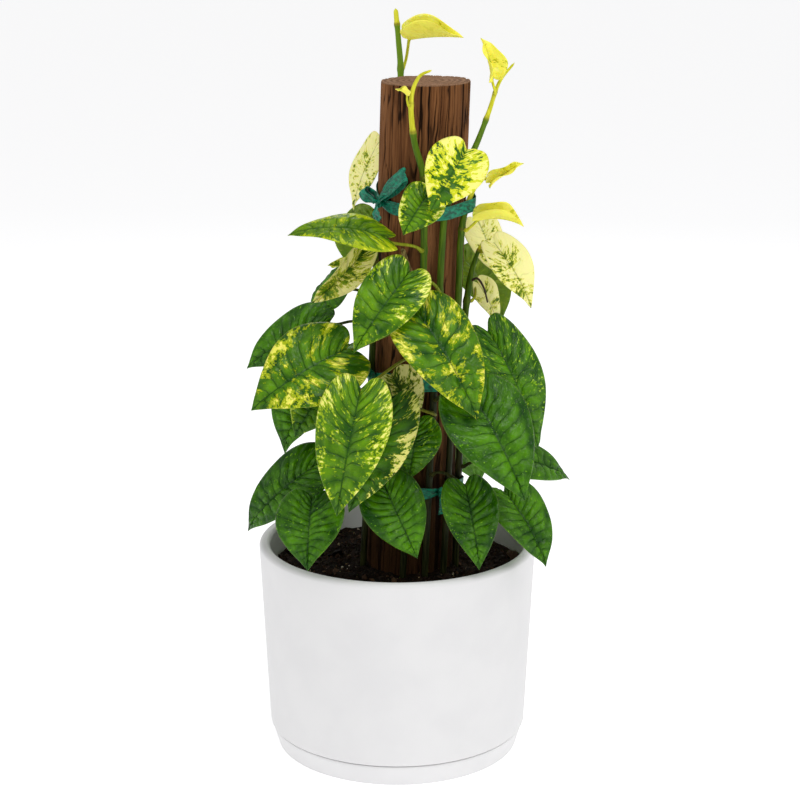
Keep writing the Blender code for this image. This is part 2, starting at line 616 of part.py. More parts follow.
def ribbon(name, path, outward, width, colour, parent, closed=False, upright=False):
    """A tape along a path: outward gives the side that its face looks to at each point.  An
    upright tape has its width along Z, so that a sloping band still clears what it goes round."""
    verts = []
    count = len(path)
    for index, point in enumerate(path):
        ahead = path[(index + 1) % count] if closed else path[min(index + 1, count - 1)]
        behind = path[index - 1] if closed else path[max(index - 1, 0)]
        along = (ahead - behind).normalized()
        face = (outward[index] - along * outward[index].dot(along)).normalized()
        edge = Vector((0, 0, 1)) if upright else face.cross(along)
        for high, out in ((-1, -1), (1, -1), (1, 1), (-1, 1)):
            verts.append(point + edge * (high * width / 2) + face * (out * TAPE / 2))
    faces = []
    for index in range(count if closed else count - 1):
        low, high = 4 * index, 4 * ((index + 1) % count)
        for side in range(4):
            after = (side + 1) % 4
            faces.append((low + side, low + after, high + after, high + side))
    if not closed:
        faces += [(3, 2, 1, 0), tuple(4 * (count - 1) + side for side in range(4))]
    return solid(name, verts, faces, colour, parent)


def tie_route(routes, tie):
    """The line of a tape pulled tight round the post and the vines, counted from its knot."""
    rise = Vector((*tie.rise, 0.0))
    rounds = [(Vector((0.0, 0.0, 0.0)), POST_RADIUS)]
    for route in routes.values():
        level = tie.height + rise.dot(stem_at(route, tie.height))
        if route[-1].z > level:
            rounds += [(stem_at(route, level + edge * TAPE_WIDTH), VINE_RADIUS) for edge in TIE_EDGES]
    cloud = []
    for centre, radius in rounds:
        reach = radius + TAPE / 2 + TIE_ROOM
        sides = POST_SIDES if radius == POST_RADIUS else TIE_VINE_SIDES
        for side in range(sides):
            turn = 2 * math.pi * side / sides
            cloud.append((centre.x + reach * math.cos(turn), centre.y + reach * math.sin(turn)))
    hull = [cloud[index] for index in convex_hull_2d(cloud)]
    start = math.radians(tie.knot)
    hull.sort(key=lambda p: (math.atan2(p[1], p[0]) - start) % (2 * math.pi))
    line = []
    for x, y in hull:
        point = Vector((x, y, tie.height + rise.x * x + rise.y * y))
        if not line or min((point - line[-1]).length, (point - line[0]).length) > SHORTEST_FACET:
            line.append(point)
    return line


def build_tie(tie, routes, parent):
    """A band of tape with its knot, loops and tails, all one solid."""
    line = tie_route(routes, tie)
    band = ribbon(tie.name, line, [Vector((p.x, p.y, 0)) for p in line], TAPE_WIDTH, "tape",
                  parent, closed=True, upright=True)
    knot = line[0]
    outward = Vector((knot.x, knot.y, 0)).normalized()
    centre = knot + outward * (0.6 * KNOT)
    parts = [ball(tie.name + "_knot", centre, KNOT, "tape", parent)]
    for index, place in enumerate(tie.loops):
        reach = on_post(*place) - centre
        opening = (outward - reach * (outward.dot(reach) / reach.length_squared)).normalized()
        path, faces = [], []
        for step in range(LOOP_STEPS):
            turn = 2 * math.pi * step / LOOP_STEPS
            path.append(centre + reach * ((1 - math.cos(turn)) / 2)
                        + opening * (LOOP_OPENING * math.sin(turn)))
            faces.append(opening * math.sin(turn) - reach.normalized() * math.cos(turn))
        parts.append(ribbon(f"{tie.name}_loop_{index}", path, faces, 0.75 * TAPE_WIDTH, "tape",
                            parent, closed=True))
    for index, place in enumerate(tie.tails):
        end = on_post(*place)
        sag = centre.lerp(end, 0.5) + outward * 0.003
        path = smooth([centre, sag, end], 3)
        parts.append(ribbon(f"{tie.name}_tail_{index}", path, [outward] * len(path),
                            0.7 * TAPE_WIDTH, "tape", parent))
    return combine(band, parts, "UNION", "MANIFOLD")


def ball(name, centre, radius, colour, parent):
    """A small knot."""
    work = bmesh.new()
    bmesh.ops.create_icosphere(work, subdivisions=1, radius=radius,
                               matrix=Matrix.Translation(centre))
    verts = [vert.co.copy() for vert in work.verts]
    faces = [tuple(vert.index for vert in face.verts) for face in work.faces]
    work.free()
    return solid(name, verts, faces, colour, parent)


def build_sheath(parent):
    """The dry, curled sheath of an old leaf, still on the front vine."""
    path = smooth([on_post(*place) for place in SHEATH], 2)
    faces = [Vector((point.x, point.y, 0)) for point in path]
    return ribbon("dry_sheath", path, faces, SHEATH_WIDTH, "dry", parent)


def build():
    """The whole plant in its pot."""
    build_saucer()
    build_pot()
    totem = bpy.data.objects.new("totem", None)
    totem.location = (POST_FOOT_X, 0.0, SOIL_TOP)
    totem.rotation_euler = (0.0, POST_LEAN, 0.0)
    bpy.context.collection.objects.link(totem)
    build_soil(totem)
    post_solid("post", 0.0, totem)
    routes = build_vines(totem)
    for tie in TIES:
        build_tie(tie, routes, totem)
    build_sheath(totem)
    for leaf in LEAVES:
        build_leaf(leaf, routes, totem)


for old in list(bpy.data.objects):
    bpy.data.objects.remove(old)
build()
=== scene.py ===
# %% [markdown]
# # A pothos on its post
#
# The object is a variegated pothos that climbs a round wood post, in a white pot on its saucer.
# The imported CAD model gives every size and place.  Here each of its nodes gets the surface of the
# real thing: quilted leaves, grooved wood, loose soil, crumpled tape.

# %% The frame
import math
from dataclasses import dataclass

import bpy
import numpy as np
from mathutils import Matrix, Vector


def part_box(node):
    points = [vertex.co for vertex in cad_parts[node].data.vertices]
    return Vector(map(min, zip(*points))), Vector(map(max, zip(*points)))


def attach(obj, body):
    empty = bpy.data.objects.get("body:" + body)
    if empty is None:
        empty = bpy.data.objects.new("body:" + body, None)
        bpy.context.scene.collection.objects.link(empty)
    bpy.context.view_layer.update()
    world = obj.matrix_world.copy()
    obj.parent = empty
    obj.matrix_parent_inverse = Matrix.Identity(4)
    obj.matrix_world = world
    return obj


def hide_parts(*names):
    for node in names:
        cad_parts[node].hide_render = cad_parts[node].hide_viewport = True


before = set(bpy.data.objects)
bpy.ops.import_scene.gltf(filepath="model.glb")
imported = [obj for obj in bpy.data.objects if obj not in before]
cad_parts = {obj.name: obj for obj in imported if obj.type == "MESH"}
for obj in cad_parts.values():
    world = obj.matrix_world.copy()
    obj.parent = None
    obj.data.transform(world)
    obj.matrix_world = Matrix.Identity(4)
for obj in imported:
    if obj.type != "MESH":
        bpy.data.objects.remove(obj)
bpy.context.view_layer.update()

# %% [markdown]
# ## A skin over rings
#
# Nearly every piece here is a skin stretched over rings, as a stocking is over hoops.  A leaf, a
# stem, the post and the soil have a point at each end.  The pot and the tapes run round and join
# up with their own start.  One function turns rings into points and faces, measures the volume
# that they enclose, and turns the faces over if that comes out negative, so that every piece
# points outwards.  It works on whole arrays, so no loop visits a single point.


# %% Skins
@dataclass
class Skin:
    """A closed surface: points, faces of four and of three corners, and notes, which are values
    that the finish reads at each point."""
    points: np.ndarray
    quads: np.ndarray
    tris: np.ndarray
    notes: dict


def enclosed(points, quads, tris):
    """Volume: a sixth of the sum of a . (b x c) over all triangles."""
    corners = np.concatenate([quads[:, [0, 1, 2]], quads[:, [0, 2, 3]], tris])
    a, b, c = (points[corners[:, k]] for k in range(3))
    return np.einsum("ij,ij->", a, np.cross(b, c)) / 6


def skin(rings, ends=None, **notes):
    """A skin over rings, where rings[i, j] is point j of ring i and each ring closes on itself.
    ends are the two points that close it.  Without them the last ring joins the first."""
    count, around = rings.shape[:2]
    i, j = np.meshgrid(np.arange(count if ends is None else count - 1), np.arange(around), indexing="ij")
    here, ahead = i * around, ((i + 1) % count) * around
    beside = (j + 1) % around
    quads = np.stack([here + j, here + beside, ahead + beside, ahead + j], -1).reshape(-1, 4)
    points, tris = rings.reshape(-1, 3), np.zeros((0, 3), int)
    flat = {key: np.asarray(value, float).reshape(count * around, -1) for key, value in notes.items()}
    if ends is not None:
        points = np.concatenate([points, np.asarray(ends, float)])
        j, after = np.arange(around), (np.arange(around) + 1) % around
        start, last = np.full(around, count * around), (count - 1) * around
        tris = np.concatenate([np.stack([start, after, j], -1),
                               np.stack([start + 1, last + j, last + after], -1)])
        flat = {key: np.concatenate([value, value[:around].mean(0)[None], value[-around:].mean(0)[None]])
                for key, value in flat.items()}
    if enclosed(points, quads, tris) < 0:
        quads, tris = quads[:, ::-1], tris[:, ::-1]
    return Skin(points, quads, tris, flat)


def placed(name, data):
    """A new object in the scene that holds the data."""
    made = bpy.data.objects.new(name, data)
    bpy.context.collection.objects.link(made)
    return made


def piece(name, parts, replaces, sharp=None):
    """One object from (skin, material) pairs, in place of the CAD nodes that it replaces.  Edges
    sharper than so many degrees stay crisp."""
    mesh = bpy.data.meshes.new(name)
    faces, indices, start = [], [], 0
    for index, (part, material) in enumerate(parts):
        faces += (part.quads + start).tolist() + (part.tris + start).tolist()
        indices += [index] * (len(part.quads) + len(part.tris))
        start += len(part.points)
        mesh.materials.append(material)
    mesh.from_pydata(np.concatenate([part.points for part, _ in parts]).tolist(), [], faces)
    mesh.polygons.foreach_set("material_index", indices)
    for key in sorted({key for part, _ in parts for key in part.notes}):
        wide = max(part.notes[key].shape[1] for part, _ in parts if key in part.notes)
        rows = [part.notes.get(key, np.zeros((len(part.points), wide))) for part, _ in parts]
        note = mesh.attributes.new(key, "FLOAT_VECTOR" if wide == 3 else "FLOAT", "POINT")
        note.data.foreach_set("vector" if wide == 3 else "value", np.concatenate(rows).ravel())
    mesh.shade_smooth()
    if sharp:
        mesh.set_sharp_from_angle(angle=math.radians(sharp))
    made = placed(name, mesh)
    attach(made, "root")
    if replaces:
        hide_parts(*replaces)


# %% [markdown]
# ## Unevenness
#
# Nothing that grows is even.  Value noise is the simplest unevenness there is: a random number at
# each crossing of a grid, blended smoothly in between.  The numbers come from a seeded generator,
# so each run gives the same plant.  Where the surface closes on itself the grid has to repeat
# after a whole number of cells, or the seam would show.

# %% Noise and curves
ROOM = 256                       # cells before the noise repeats where it needn't close


def noise(u, v, seed, repeat=ROOM):
    """From -1 to 1: random numbers at whole (u, v), blended with 3t^2 - 2t^3.  u repeats."""
    table = np.random.default_rng(seed).uniform(-1, 1, (repeat, ROOM))
    i, j = np.floor(u).astype(int), np.floor(v).astype(int)
    s, t = u - i, v - j
    s, t = s * s * (3 - 2 * s), t * t * (3 - 2 * t)
    low = table[i % repeat, j % ROOM] * (1 - s) + table[(i + 1) % repeat, j % ROOM] * s
    high = table[i % repeat, (j + 1) % ROOM] * (1 - s) + table[(i + 1) % repeat, (j + 1) % ROOM] * s
    return low * (1 - t) + high * t


def ease(x, low, high):
    """0 below low, 1 above high, and 3t^2 - 2t^3 in between."""
    t = np.clip((x - low) / (high - low), 0, 1)
    return t * t * (3 - 2 * t)


def unit(vectors):
    """The same directions with length 1."""
    return vectors / np.maximum(np.linalg.norm(vectors, axis=-1, keepdims=True), 1e-12)


def spline(before, start, end, after, t):
    """A Catmull-Rom span, from start to end as t runs from 0 to 1."""
    return 0.5 * (2 * start + (end - before) * t + (2 * before - 5 * start + 4 * end - after) * t ** 2
                  + (3 * start - before - 3 * end + after) * t ** 3)


def through(points, steps):
    """A Catmull-Rom curve through the points, with the same number of steps in each span."""
    points = np.asarray(points, float)
    keys = np.concatenate([[2 * points[0] - points[1]], points, [2 * points[-1] - points[-2]]])
    t = (np.arange(steps) / steps)[None, :, None]
    spans = spline(*(keys[k:len(points) - 1 + k, None] for k in range(4)), t)
    return np.concatenate([spans.reshape(-1, 3), points[-1:]])


def bezier(start, leave, meet, end, t):
    """A cubic curve that sets out towards leave and comes in from meet."""
    t = np.asarray(t)[:, None]
    return (1 - t) ** 3 * start + 3 * (1 - t) ** 2 * t * leave + 3 * (1 - t) * t ** 2 * meet + t ** 3 * end


def turns(count):
    """So many angles evenly round a circle, from 0."""
    return np.linspace(0, 2 * np.pi, count, endpoint=False)


def rotated(a, b, angle):
    """The pair (a, b) turned by an angle."""
    return a * np.cos(angle) - b * np.sin(angle), a * np.sin(angle) + b * np.cos(angle)


def tube(path, radii, sides, **notes):
    """A round stem: each ring is path + radius (cos a across + sin a third).  Across comes from a
    fixed direction made square to the path, which does for stems that never turn right over."""
    along = unit(np.gradient(path, axis=0))
    aid = np.eye(3)[np.argmin(np.abs(unit(along.mean(0))))]
    across = unit(np.cross(along, aid))
    third = np.cross(along, across)
    turn = turns(sides)[None, :, None]
    spread = np.cos(turn) * across[:, None] + np.sin(turn) * third[:, None]
    rings = path[:, None] + np.asarray(radii)[:, None, None] * spread
    wide = {key: np.repeat(np.asarray(value)[:, None], sides, 1) for key, value in notes.items()}
    return skin(rings, (path[0], path[-1]), **wide)


# %% [markdown]
# ## Shader sums as plain arithmetic
#
# A procedural finish is mostly sums on masks, and a hundred Math nodes are hard to read.  A small
# class wraps a socket and overloads the operators, so that `0.4 + mask * 0.2` adds the two nodes
# that work it out.  Every other node comes from one method, `node`, which takes the node's type,
# its settings and what goes into its sockets.


# %% Links
class Link:
    """A shader socket that can be added, subtracted and multiplied."""

    def __init__(self, tree, socket=None):
        self.tree, self.socket = tree, socket

    def node(self, kind, settings=None, inputs=None, output=0):
        """Adds a node: its settings first, then the values or links of its sockets."""
        made = self.tree.nodes.new("ShaderNode" + kind)
        for key, value in (settings or {}).items():
            if key == "stops":
                for _ in value[2:]:
                    made.color_ramp.elements.new(0.5)
                for stop, (place, colour) in zip(made.color_ramp.elements, value):
                    stop.position, stop.color = place, opaque(colour)
            else:
                setattr(made, key, value)
        for key, value in (inputs or {}).items():
            if isinstance(value, Link):
                self.tree.links.new(value.socket, made.inputs[key])
            else:
                made.inputs[key].default_value = value
        return Link(self.tree, made.outputs[output])

    def sum(self, operation, *values):
        """A Math node over the values."""
        return self.node("Math", {"operation": operation}, dict(enumerate(values)))

    def __add__(self, other):
        return self.sum("ADD", self, other)

    def __sub__(self, other):
        return self.sum("SUBTRACT", self, other)

    def __mul__(self, other):
        return self.sum("MULTIPLY", self, other)

    __radd__ = __add__

    def at_least(self, other):
        """The greater of the two."""
        return self.sum("MAXIMUM", self, other)

    def whole_away(self):
        """How far the value is from the nearest whole number."""
        return self.sum("PINGPONG", self, 0.5)

    def size(self):
        """The value without its sign."""
        return self.sum("ABSOLUTE", self)

    def between(self, low, high):
        """0 below low, 1 above high, smooth in between."""
        return self.node("MapRange", {"interpolation_type": "SMOOTHSTEP"},
                         {0: self, 1: low, 2: high, 3: 0.0, 4: 1.0})

    def mix(self, start, end):
        """A colour that goes from start to end as this value goes from 0 to 1."""
        return self.node("Mix", {"data_type": "RGBA"}, {0: self, 6: opaque(start), 7: opaque(end)}, 2)

    def parts(self):
        """The three numbers of a vector."""
        split = self.node("SeparateXYZ", inputs={0: self}).socket.node
        return [Link(self.tree, split.outputs[k]) for k in range(3)]

    def note(self, name):
        """A note on the points: three numbers to a point."""
        return self.node("Attribute", {"attribute_name": name}, output=1)

    def value_note(self, name):
        """A note on the points: one number to a point."""
        return self.node("Attribute", {"attribute_name": name}, output=2)

    def place(self):
        """The place on the object, in metres."""
        return self.node("TexCoord", output=3)

    def grain(self, cells, detail=2.0, rough=0.5):
        """Noise about 0.5 on this vector, with so many cells to a metre, alike or each way."""
        cells = (cells,) * 3 if isinstance(cells, int) else cells
        fine = self.node("VectorMath", {"operation": "MULTIPLY"}, {0: self, 1: cells})
        return self.node("TexNoise", inputs={"Vector": fine, "Scale": 1.0, "Detail": detail,
                                             "Roughness": rough})

    def bump(self, depth):
        """A normal that this height, times depth in metres, tilts."""
        return self.node("Bump", inputs={"Height": self, "Distance": depth, "Strength": 1.0})


def opaque(colour):
    """Three numbers with an alpha of 1, or a link as it is."""
    return colour if isinstance(colour, Link) else (*colour, 1.0)


def finish(name, **constants):
    """A new material, its Principled shader, and a link to start sums from."""
    made = bpy.data.materials.new(name)
    made.use_nodes = True
    shader = made.node_tree.nodes["Principled BSDF"]
    for key, value in constants.items():
        shader.inputs[key.replace("_", " ")].default_value = value
    return made, shader, Link(made.node_tree)


def wire(shader, **links):
    """Joins links to the shader's sockets, named in words with _ for a space."""
    for key, link in links.items():
        link.tree.links.new(link.socket, shader.inputs[key.replace("_", " ")])


# %% [markdown]
# ## The pot and its saucer
#
# Both are thrown or cast and then turned, so each is a profile carried round the axis.  The glaze
# is matt, with a very fine unevenness.  The profile is measured from the frame: the rim's height
# and radius come from the CAD boxes, and only the wall and the rounds are named here.

# %% Pot and saucer
POT_SIDES = 192
WALL, TAPER = 0.010, 0.008
LIP_ROUND, FOOT_ROUND = 0.0048, 0.0015
FOOT_RING, FOOT_PLAY, SEAM = 0.012, 0.0020, 0.0010
POT_FLOOR, FOOT_RECESS, DRAIN_RADIUS = 0.008, 0.004, 0.009
SAUCER_WALL, SAUCER_FLOOR, SAUCER_DRAFT = 0.005, 0.006, 0.0050
SAUCER_ROUND, SAUCER_EDGE, SAUCER_HUB = 0.0025, 0.0008, 0.02
BEVEL = 0.002                    # of the foot ring, and inside the saucer

pot_low, pot_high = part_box("pot")
RIM_RADIUS, RIM_HEIGHT = pot_high[0], pot_high[2]
SAUCER_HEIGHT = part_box("saucer")[1][2]
STAND = pot_low[2]
print(f"rim radius {RIM_RADIUS:.4f}, height {RIM_HEIGHT:.4f}, saucer {SAUCER_HEIGHT:.4f}")


def arc(centre, radius, start, end, steps=8):
    """Points of an arc in a profile, with angles in degrees."""
    turn = np.radians(np.linspace(start, end, steps + 1))
    return np.stack([centre[0] + radius * np.cos(turn), centre[1] + radius * np.sin(turn)], -1)


def straight(start, end, steps):
    """Points along a straight stretch of a profile, without its end."""
    share = np.linspace(0, 1, steps, endpoint=False)[:, None]
    return np.asarray(start) * (1 - share) + np.asarray(end) * share


def turned(profile, ends=None):
    """A profile of (radius, height) carried round the axis: (r cos a, r sin a, z)."""
    turn = turns(POT_SIDES)
    radius, height = profile[:, :1], profile[:, 1:]
    rings = np.stack([radius * np.cos(turn), radius * np.sin(turn), height + 0 * turn], -1)
    return skin(rings, ends)


def pot_skin():
    """The pot's section, from its drain hole out along the underside, up, over the rim and in."""
    under, seam, lip = STAND + FOOT_RECESS, SAUCER_HEIGHT + SEAM, RIM_HEIGHT - LIP_ROUND
    floor, wall_foot = under + POT_FLOOR, RIM_RADIUS - TAPER
    foot, inner = wall_foot - FOOT_ROUND - SAUCER_WALL - FOOT_PLAY, RIM_RADIUS - WALL
    ring = foot - FOOT_RING
    section = [straight((DRAIN_RADIUS, under), (ring, under), 6), [(ring, under), (ring + BEVEL, STAND)],
               [(foot, STAND), (foot, seam)],
               arc((wall_foot - FOOT_ROUND, seam + FOOT_ROUND), FOOT_ROUND, -90, 0),
               straight((wall_foot, seam + FOOT_ROUND), (RIM_RADIUS, lip), 24)[1:],
               arc((RIM_RADIUS - LIP_ROUND, lip), LIP_ROUND, 0, 90, 12),
               arc((inner + LIP_ROUND, lip), LIP_ROUND, 90, 180, 12),
               straight((inner, lip), (wall_foot - WALL, floor), 12)[1:],
               straight((wall_foot - WALL, floor), (DRAIN_RADIUS, floor), 6),
               [(DRAIN_RADIUS, floor)]]
    return turned(np.concatenate(section))


def saucer_skin():
    """The saucer's section, from the middle of its underside round to the middle of its dish."""
    top = RIM_RADIUS - TAPER - FOOT_ROUND
    bottom, inner = top - SAUCER_DRAFT, top - SAUCER_WALL
    edge = SAUCER_HEIGHT - SAUCER_EDGE
    section = [[(SAUCER_HUB, 0.0), (3 * SAUCER_HUB, 0.0)],
               arc((bottom - SAUCER_ROUND, SAUCER_ROUND), SAUCER_ROUND, -90, 0),
               straight((bottom, SAUCER_ROUND), (top, edge), 6)[1:],
               arc((top - SAUCER_EDGE, edge), SAUCER_EDGE, 0, 90, 4),
               arc((inner + SAUCER_EDGE, edge), SAUCER_EDGE, 90, 180, 4),
               [(inner, SAUCER_FLOOR + BEVEL), (inner - BEVEL, SAUCER_FLOOR), (SAUCER_HUB, SAUCER_FLOOR)]]
    return turned(np.concatenate(section), ends=((0, 0, 0), (0, 0, SAUCER_FLOOR)))


def glaze():
    """Matt white glaze: a faint mottle in the gloss and a ripple too fine to see as a shape."""
    made, shader, link = finish("matt white glaze", IOR=1.45)
    cloud, pore = link.place().grain(22, 3.0), link.place().grain(900)
    white = cloud.between(0.3, 0.7).mix((0.745, 0.740, 0.745), (0.775, 0.770, 0.772))
    wire(shader, Base_Color=white,
         Roughness=0.42 + cloud * 0.12, Normal=(cloud * 0.6 + pore * 0.1).bump(0.0006))
    return made


white_glaze = glaze()
piece("pot_body", [(pot_skin(), white_glaze)], ["pot"], 40)
piece("saucer_dish", [(saucer_skin(), white_glaze)], ["saucer"], 40)

# %% [markdown]
# ## The post
#
# The post is a round timber, stained dark and weathered, so the soft wood between its grain lines
# has worn into grooves.  A bump map would leave its outline smooth, so the grooves are real: the
# radius is lowered by noise that is fine round the post and very long up it.  The same noise, kept
# as a note on the points, paints shade into the grooves.  The top was sawn a little out of square.

# %% Post
POST_RADIUS, POST_HEIGHT = 0.0385, 0.437
POST_FOOT_X, POST_LEAN = 0.011, math.radians(1.8)
POST_TOP_CUT, POST_EDGE = 0.0030, 0.0012
POST_SIDES, POST_ROWS, TOP_ROWS = 600, 124, 32
GROOVES = [(28, 7, 1.0, 32), (50, 13, 0.85, 33), (84, 26, 0.60, 34)]     # cells round and up, depth, seed
GROOVE_DEPTH, GROOVE_WIDTH = 0.0016, 0.18
SOIL_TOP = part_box("soil")[1][2]
POST_BURIED = SOIL_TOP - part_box("post")[0][2]


def lean(points):
    """From the post's own frame to the row frame: turned about Y by the lean, then moved."""
    x, y, z = np.moveaxis(np.asarray(points, float), -1, 0)
    cos, sin = math.cos(POST_LEAN), math.sin(POST_LEAN)
    return np.stack([POST_FOOT_X + cos * x + sin * z, y, SOIL_TOP - sin * x + cos * z], -1)


def on_post(places):
    """Places (angle in degrees, distance out, height) in the post's own frame."""
    angle, out, height = np.moveaxis(np.asarray(places, float), -1, 0)
    turn, reach = np.radians(angle), POST_RADIUS + out
    return np.stack([reach * np.cos(turn), reach * np.sin(turn), height], -1)


def grooves(turn, height):
    """How deep the wood is worn, from 0 to 1: long narrow noise in three sizes, each kept to
    where it passes through zero, so that a groove is a thin line and the wood between is broad."""
    wander = 0.008 * noise(turn * 9, height * 26, 31, 9) + 0.003 * noise(turn * 24, height * 90, 35, 24)
    worn = 0
    for cells, reach, depth, seed in GROOVES:
        value = noise((turn + wander) * cells, height * reach, seed, cells)
        strength = 0.5 + 0.5 * noise(turn * cells, height * 3 * reach, seed + 20, cells)
        worn = worn + depth * strength * (1 - ease(np.abs(value), 0.0, GROOVE_WIDTH))
    return np.clip(worn, 0, 1)


def post_skin():
    """Rings up the side and then in across the sawn top."""
    turn = np.linspace(0, 1, POST_SIDES, endpoint=False)[None]
    side = np.concatenate([[-POST_BURIED + 0.001], np.linspace(-0.004, POST_HEIGHT - POST_EDGE, POST_ROWS)])
    height = np.concatenate([side, np.full(TOP_ROWS, POST_HEIGHT)])[:, None]
    inwards = np.concatenate([np.ones(len(side)), np.linspace(0.985, 0.03, TOP_ROWS)])[:, None]
    angle = 2 * np.pi * turn
    worn = grooves(turn + 0 * height, height + 0 * turn)
    top = (inwards < 1) * 1.0
    radius = (POST_RADIUS - GROOVE_DEPTH * worn * (1 - top * (1 - inwards ** 8))) * inwards
    grain = noise(turn * 24 + 0 * height, inwards * 30, 36, 24)
    rings_of_growth = np.sin(inwards * 46 + 1.3 * noise(turn * 5 + 0 * height, inwards * 4, 37, 5))
    cut = POST_TOP_CUT * (inwards * np.cos(angle) - 1) / 2 * ease(height, 0.9 * POST_HEIGHT, POST_HEIGHT)
    rough = top * (0.00035 * grain + 0.0002 * rings_of_growth - 0.0009 * worn * inwards ** 12)
    points = np.stack([radius * np.cos(angle), radius * np.sin(angle), height + cut + rough], -1)
    middle = np.array([[0, 0, -POST_BURIED + 0.001], [0, 0, POST_HEIGHT - POST_TOP_CUT / 2]])
    return skin(lean(points), lean(middle), worn=worn * (1 - top), sawn=top * (0.5 + 0.5 * rings_of_growth),
                own=points)


def old_wood():
    """Dark red-brown wood: lighter on the ridges, nearly black with painted shade in the grooves,
    darker near the soil with painted shade from the leaves over wet wood, and paler where sawn."""
    made, shader, link = finish("weathered wood", IOR=1.4, Specular_IOR_Level=0.15)
    own = link.note("own")
    worn = link.value_note("worn")
    sawn = link.value_note("sawn")
    streak = own.grain((520, 520, 12), 4.0, 0.65)
    patch = own.grain((45, 45, 5), 3.0)
    fibre = own.grain((1500, 1500, 30), 3.0, 0.6)
    ridge = (streak * 0.7 + patch * 0.3).between(0.36, 0.64)
    ridge = ridge * 0.75 + fibre.between(0.35, 0.65) * 0.25
    wood = ridge.mix((0.085, 0.030, 0.009), (0.235, 0.098, 0.034))
    wood = patch.between(0.5, 0.75).mix(wood, (0.280, 0.122, 0.046))
    # painted shade from the leaves above, over wet wood: darker towards the soil
    low_shade_and_damp = (own.parts()[2] + patch * 0.04).between(0.26, 0.08) * 0.72
    wood = low_shade_and_damp.mix(wood, (0.018, 0.008, 0.003))
    # painted shade: nearly black in the grooves
    wood = worn.between(0.05, 0.65).mix(wood, (0.016, 0.006, 0.002))
    end = (sawn * 0.3 + own.grain(900, 3.0) * 0.7).between(0.2, 0.75)
    end = end.mix((0.125, 0.060, 0.032), (0.33, 0.19, 0.11))
    wire(shader, Base_Color=sawn.between(0.0, 0.02).mix(wood, end), Roughness=streak * 0.2 + 0.72,
         Normal=(streak * 0.6 + fibre * 0.7).bump(0.0009))
    return made


piece("post_timber", [(post_skin(), old_wood())], ["post"], 50)

# %% [markdown]
# ## The soil
#
# Potting mix is lumps of peat with chips of bark and a few pale grains of grit and roots.  The
# surface is rings that run in from the pot's wall to the post, raised and lowered by noise, and
# continued down out of sight to close it.  The chips are one mesh: a small rough nugget, repeated
# more than a thousand times by array sums, each with its own size, turn and tone.

# %% Soil
SOIL_SIDES, SOIL_ROWS, SOIL_CROWN = 280, 90, 0.003
SOCKET_DEPTH, SOCKET_GRIP = 0.03, 0.001            # how far the soil goes down, and in, at the post
soil_low, soil_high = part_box("soil")
SOIL_RADIUS = soil_high[0]


def soil_height(x, y):
    """Height of the soil at a place: a low crown, heaped at the post, with lumps in three sizes."""
    reach = np.hypot(x, y) / SOIL_RADIUS
    lumps = 0.0010 * noise(x * 60 + 40, y * 60 + 40, 51) + 0.0011 * noise(x * 170 + 90, y * 170 + 90, 52)
    crumbs = 0.0009 * noise(x * 420 + 128, y * 420 + 128, 53)
    heap = 0.0022 * np.exp(-(np.maximum(np.hypot(x - POST_FOOT_X, y) - POST_RADIUS, 0) / 0.012) ** 2)
    return SOIL_TOP - 0.0012 - SOIL_CROWN * reach ** 2 + lumps + crumbs + heap


def soil_skin():
    """Rings from under the post, up its socket, out across the surface and down the wall."""
    turn = turns(SOIL_SIDES)[None]
    share = np.linspace(0, 1, SOIL_ROWS)[:, None]
    wall = np.stack([SOIL_RADIUS * np.cos(turn), SOIL_RADIUS * np.sin(turn)], -1)
    hole = POST_RADIUS - SOCKET_GRIP
    hug = np.stack([POST_FOOT_X + hole * np.cos(turn), hole * np.sin(turn)], -1)
    flat = hug + (wall - hug) * share[..., None]
    top = np.concatenate([flat, soil_height(flat[..., 0], flat[..., 1])[..., None]], -1)
    low = soil_low[2] + 0.001
    socket = np.concatenate([hug, np.full((1, SOIL_SIDES, 1), SOIL_TOP - SOCKET_DEPTH)], -1)
    foot = np.concatenate([wall * 0.93, np.full((1, SOIL_SIDES, 1), low)], -1)
    rings = np.concatenate([socket, top, foot])
    return skin(rings, ((POST_FOOT_X, 0, SOIL_TOP - SOCKET_DEPTH), (0, 0, low)))


def potting_mix():
    """Damp peat, nearly black, with brown crumbs in it."""
    made, shader, link = finish("potting mix", IOR=1.35, Specular_IOR_Level=0.2)
    place = link.place()
    crumb = place.grain(600, 4.0, 0.6)
    patch = place.grain(70, 2.0)
    tone = (crumb * 0.75 + patch * 0.25).between(0.42, 0.68)
    wire(shader, Base_Color=tone.mix((0.004, 0.0025, 0.0015), (0.040, 0.018, 0.009)),
         Roughness=0.75 + crumb * 0.2, Normal=crumb.bump(0.0015))
    return made


NUGGET_SIDES = 6
NUGGETS = [                      # how many, size in metres, seed, flatness, and range of tones
    (420, 0.0028, 61, 0.45, (0.0, 0.80)),
    (700, 0.0017, 63, 0.8, (0.0, 0.84)),
    (260, 0.0008, 62, 0.8, (0.78, 1.0)),
]


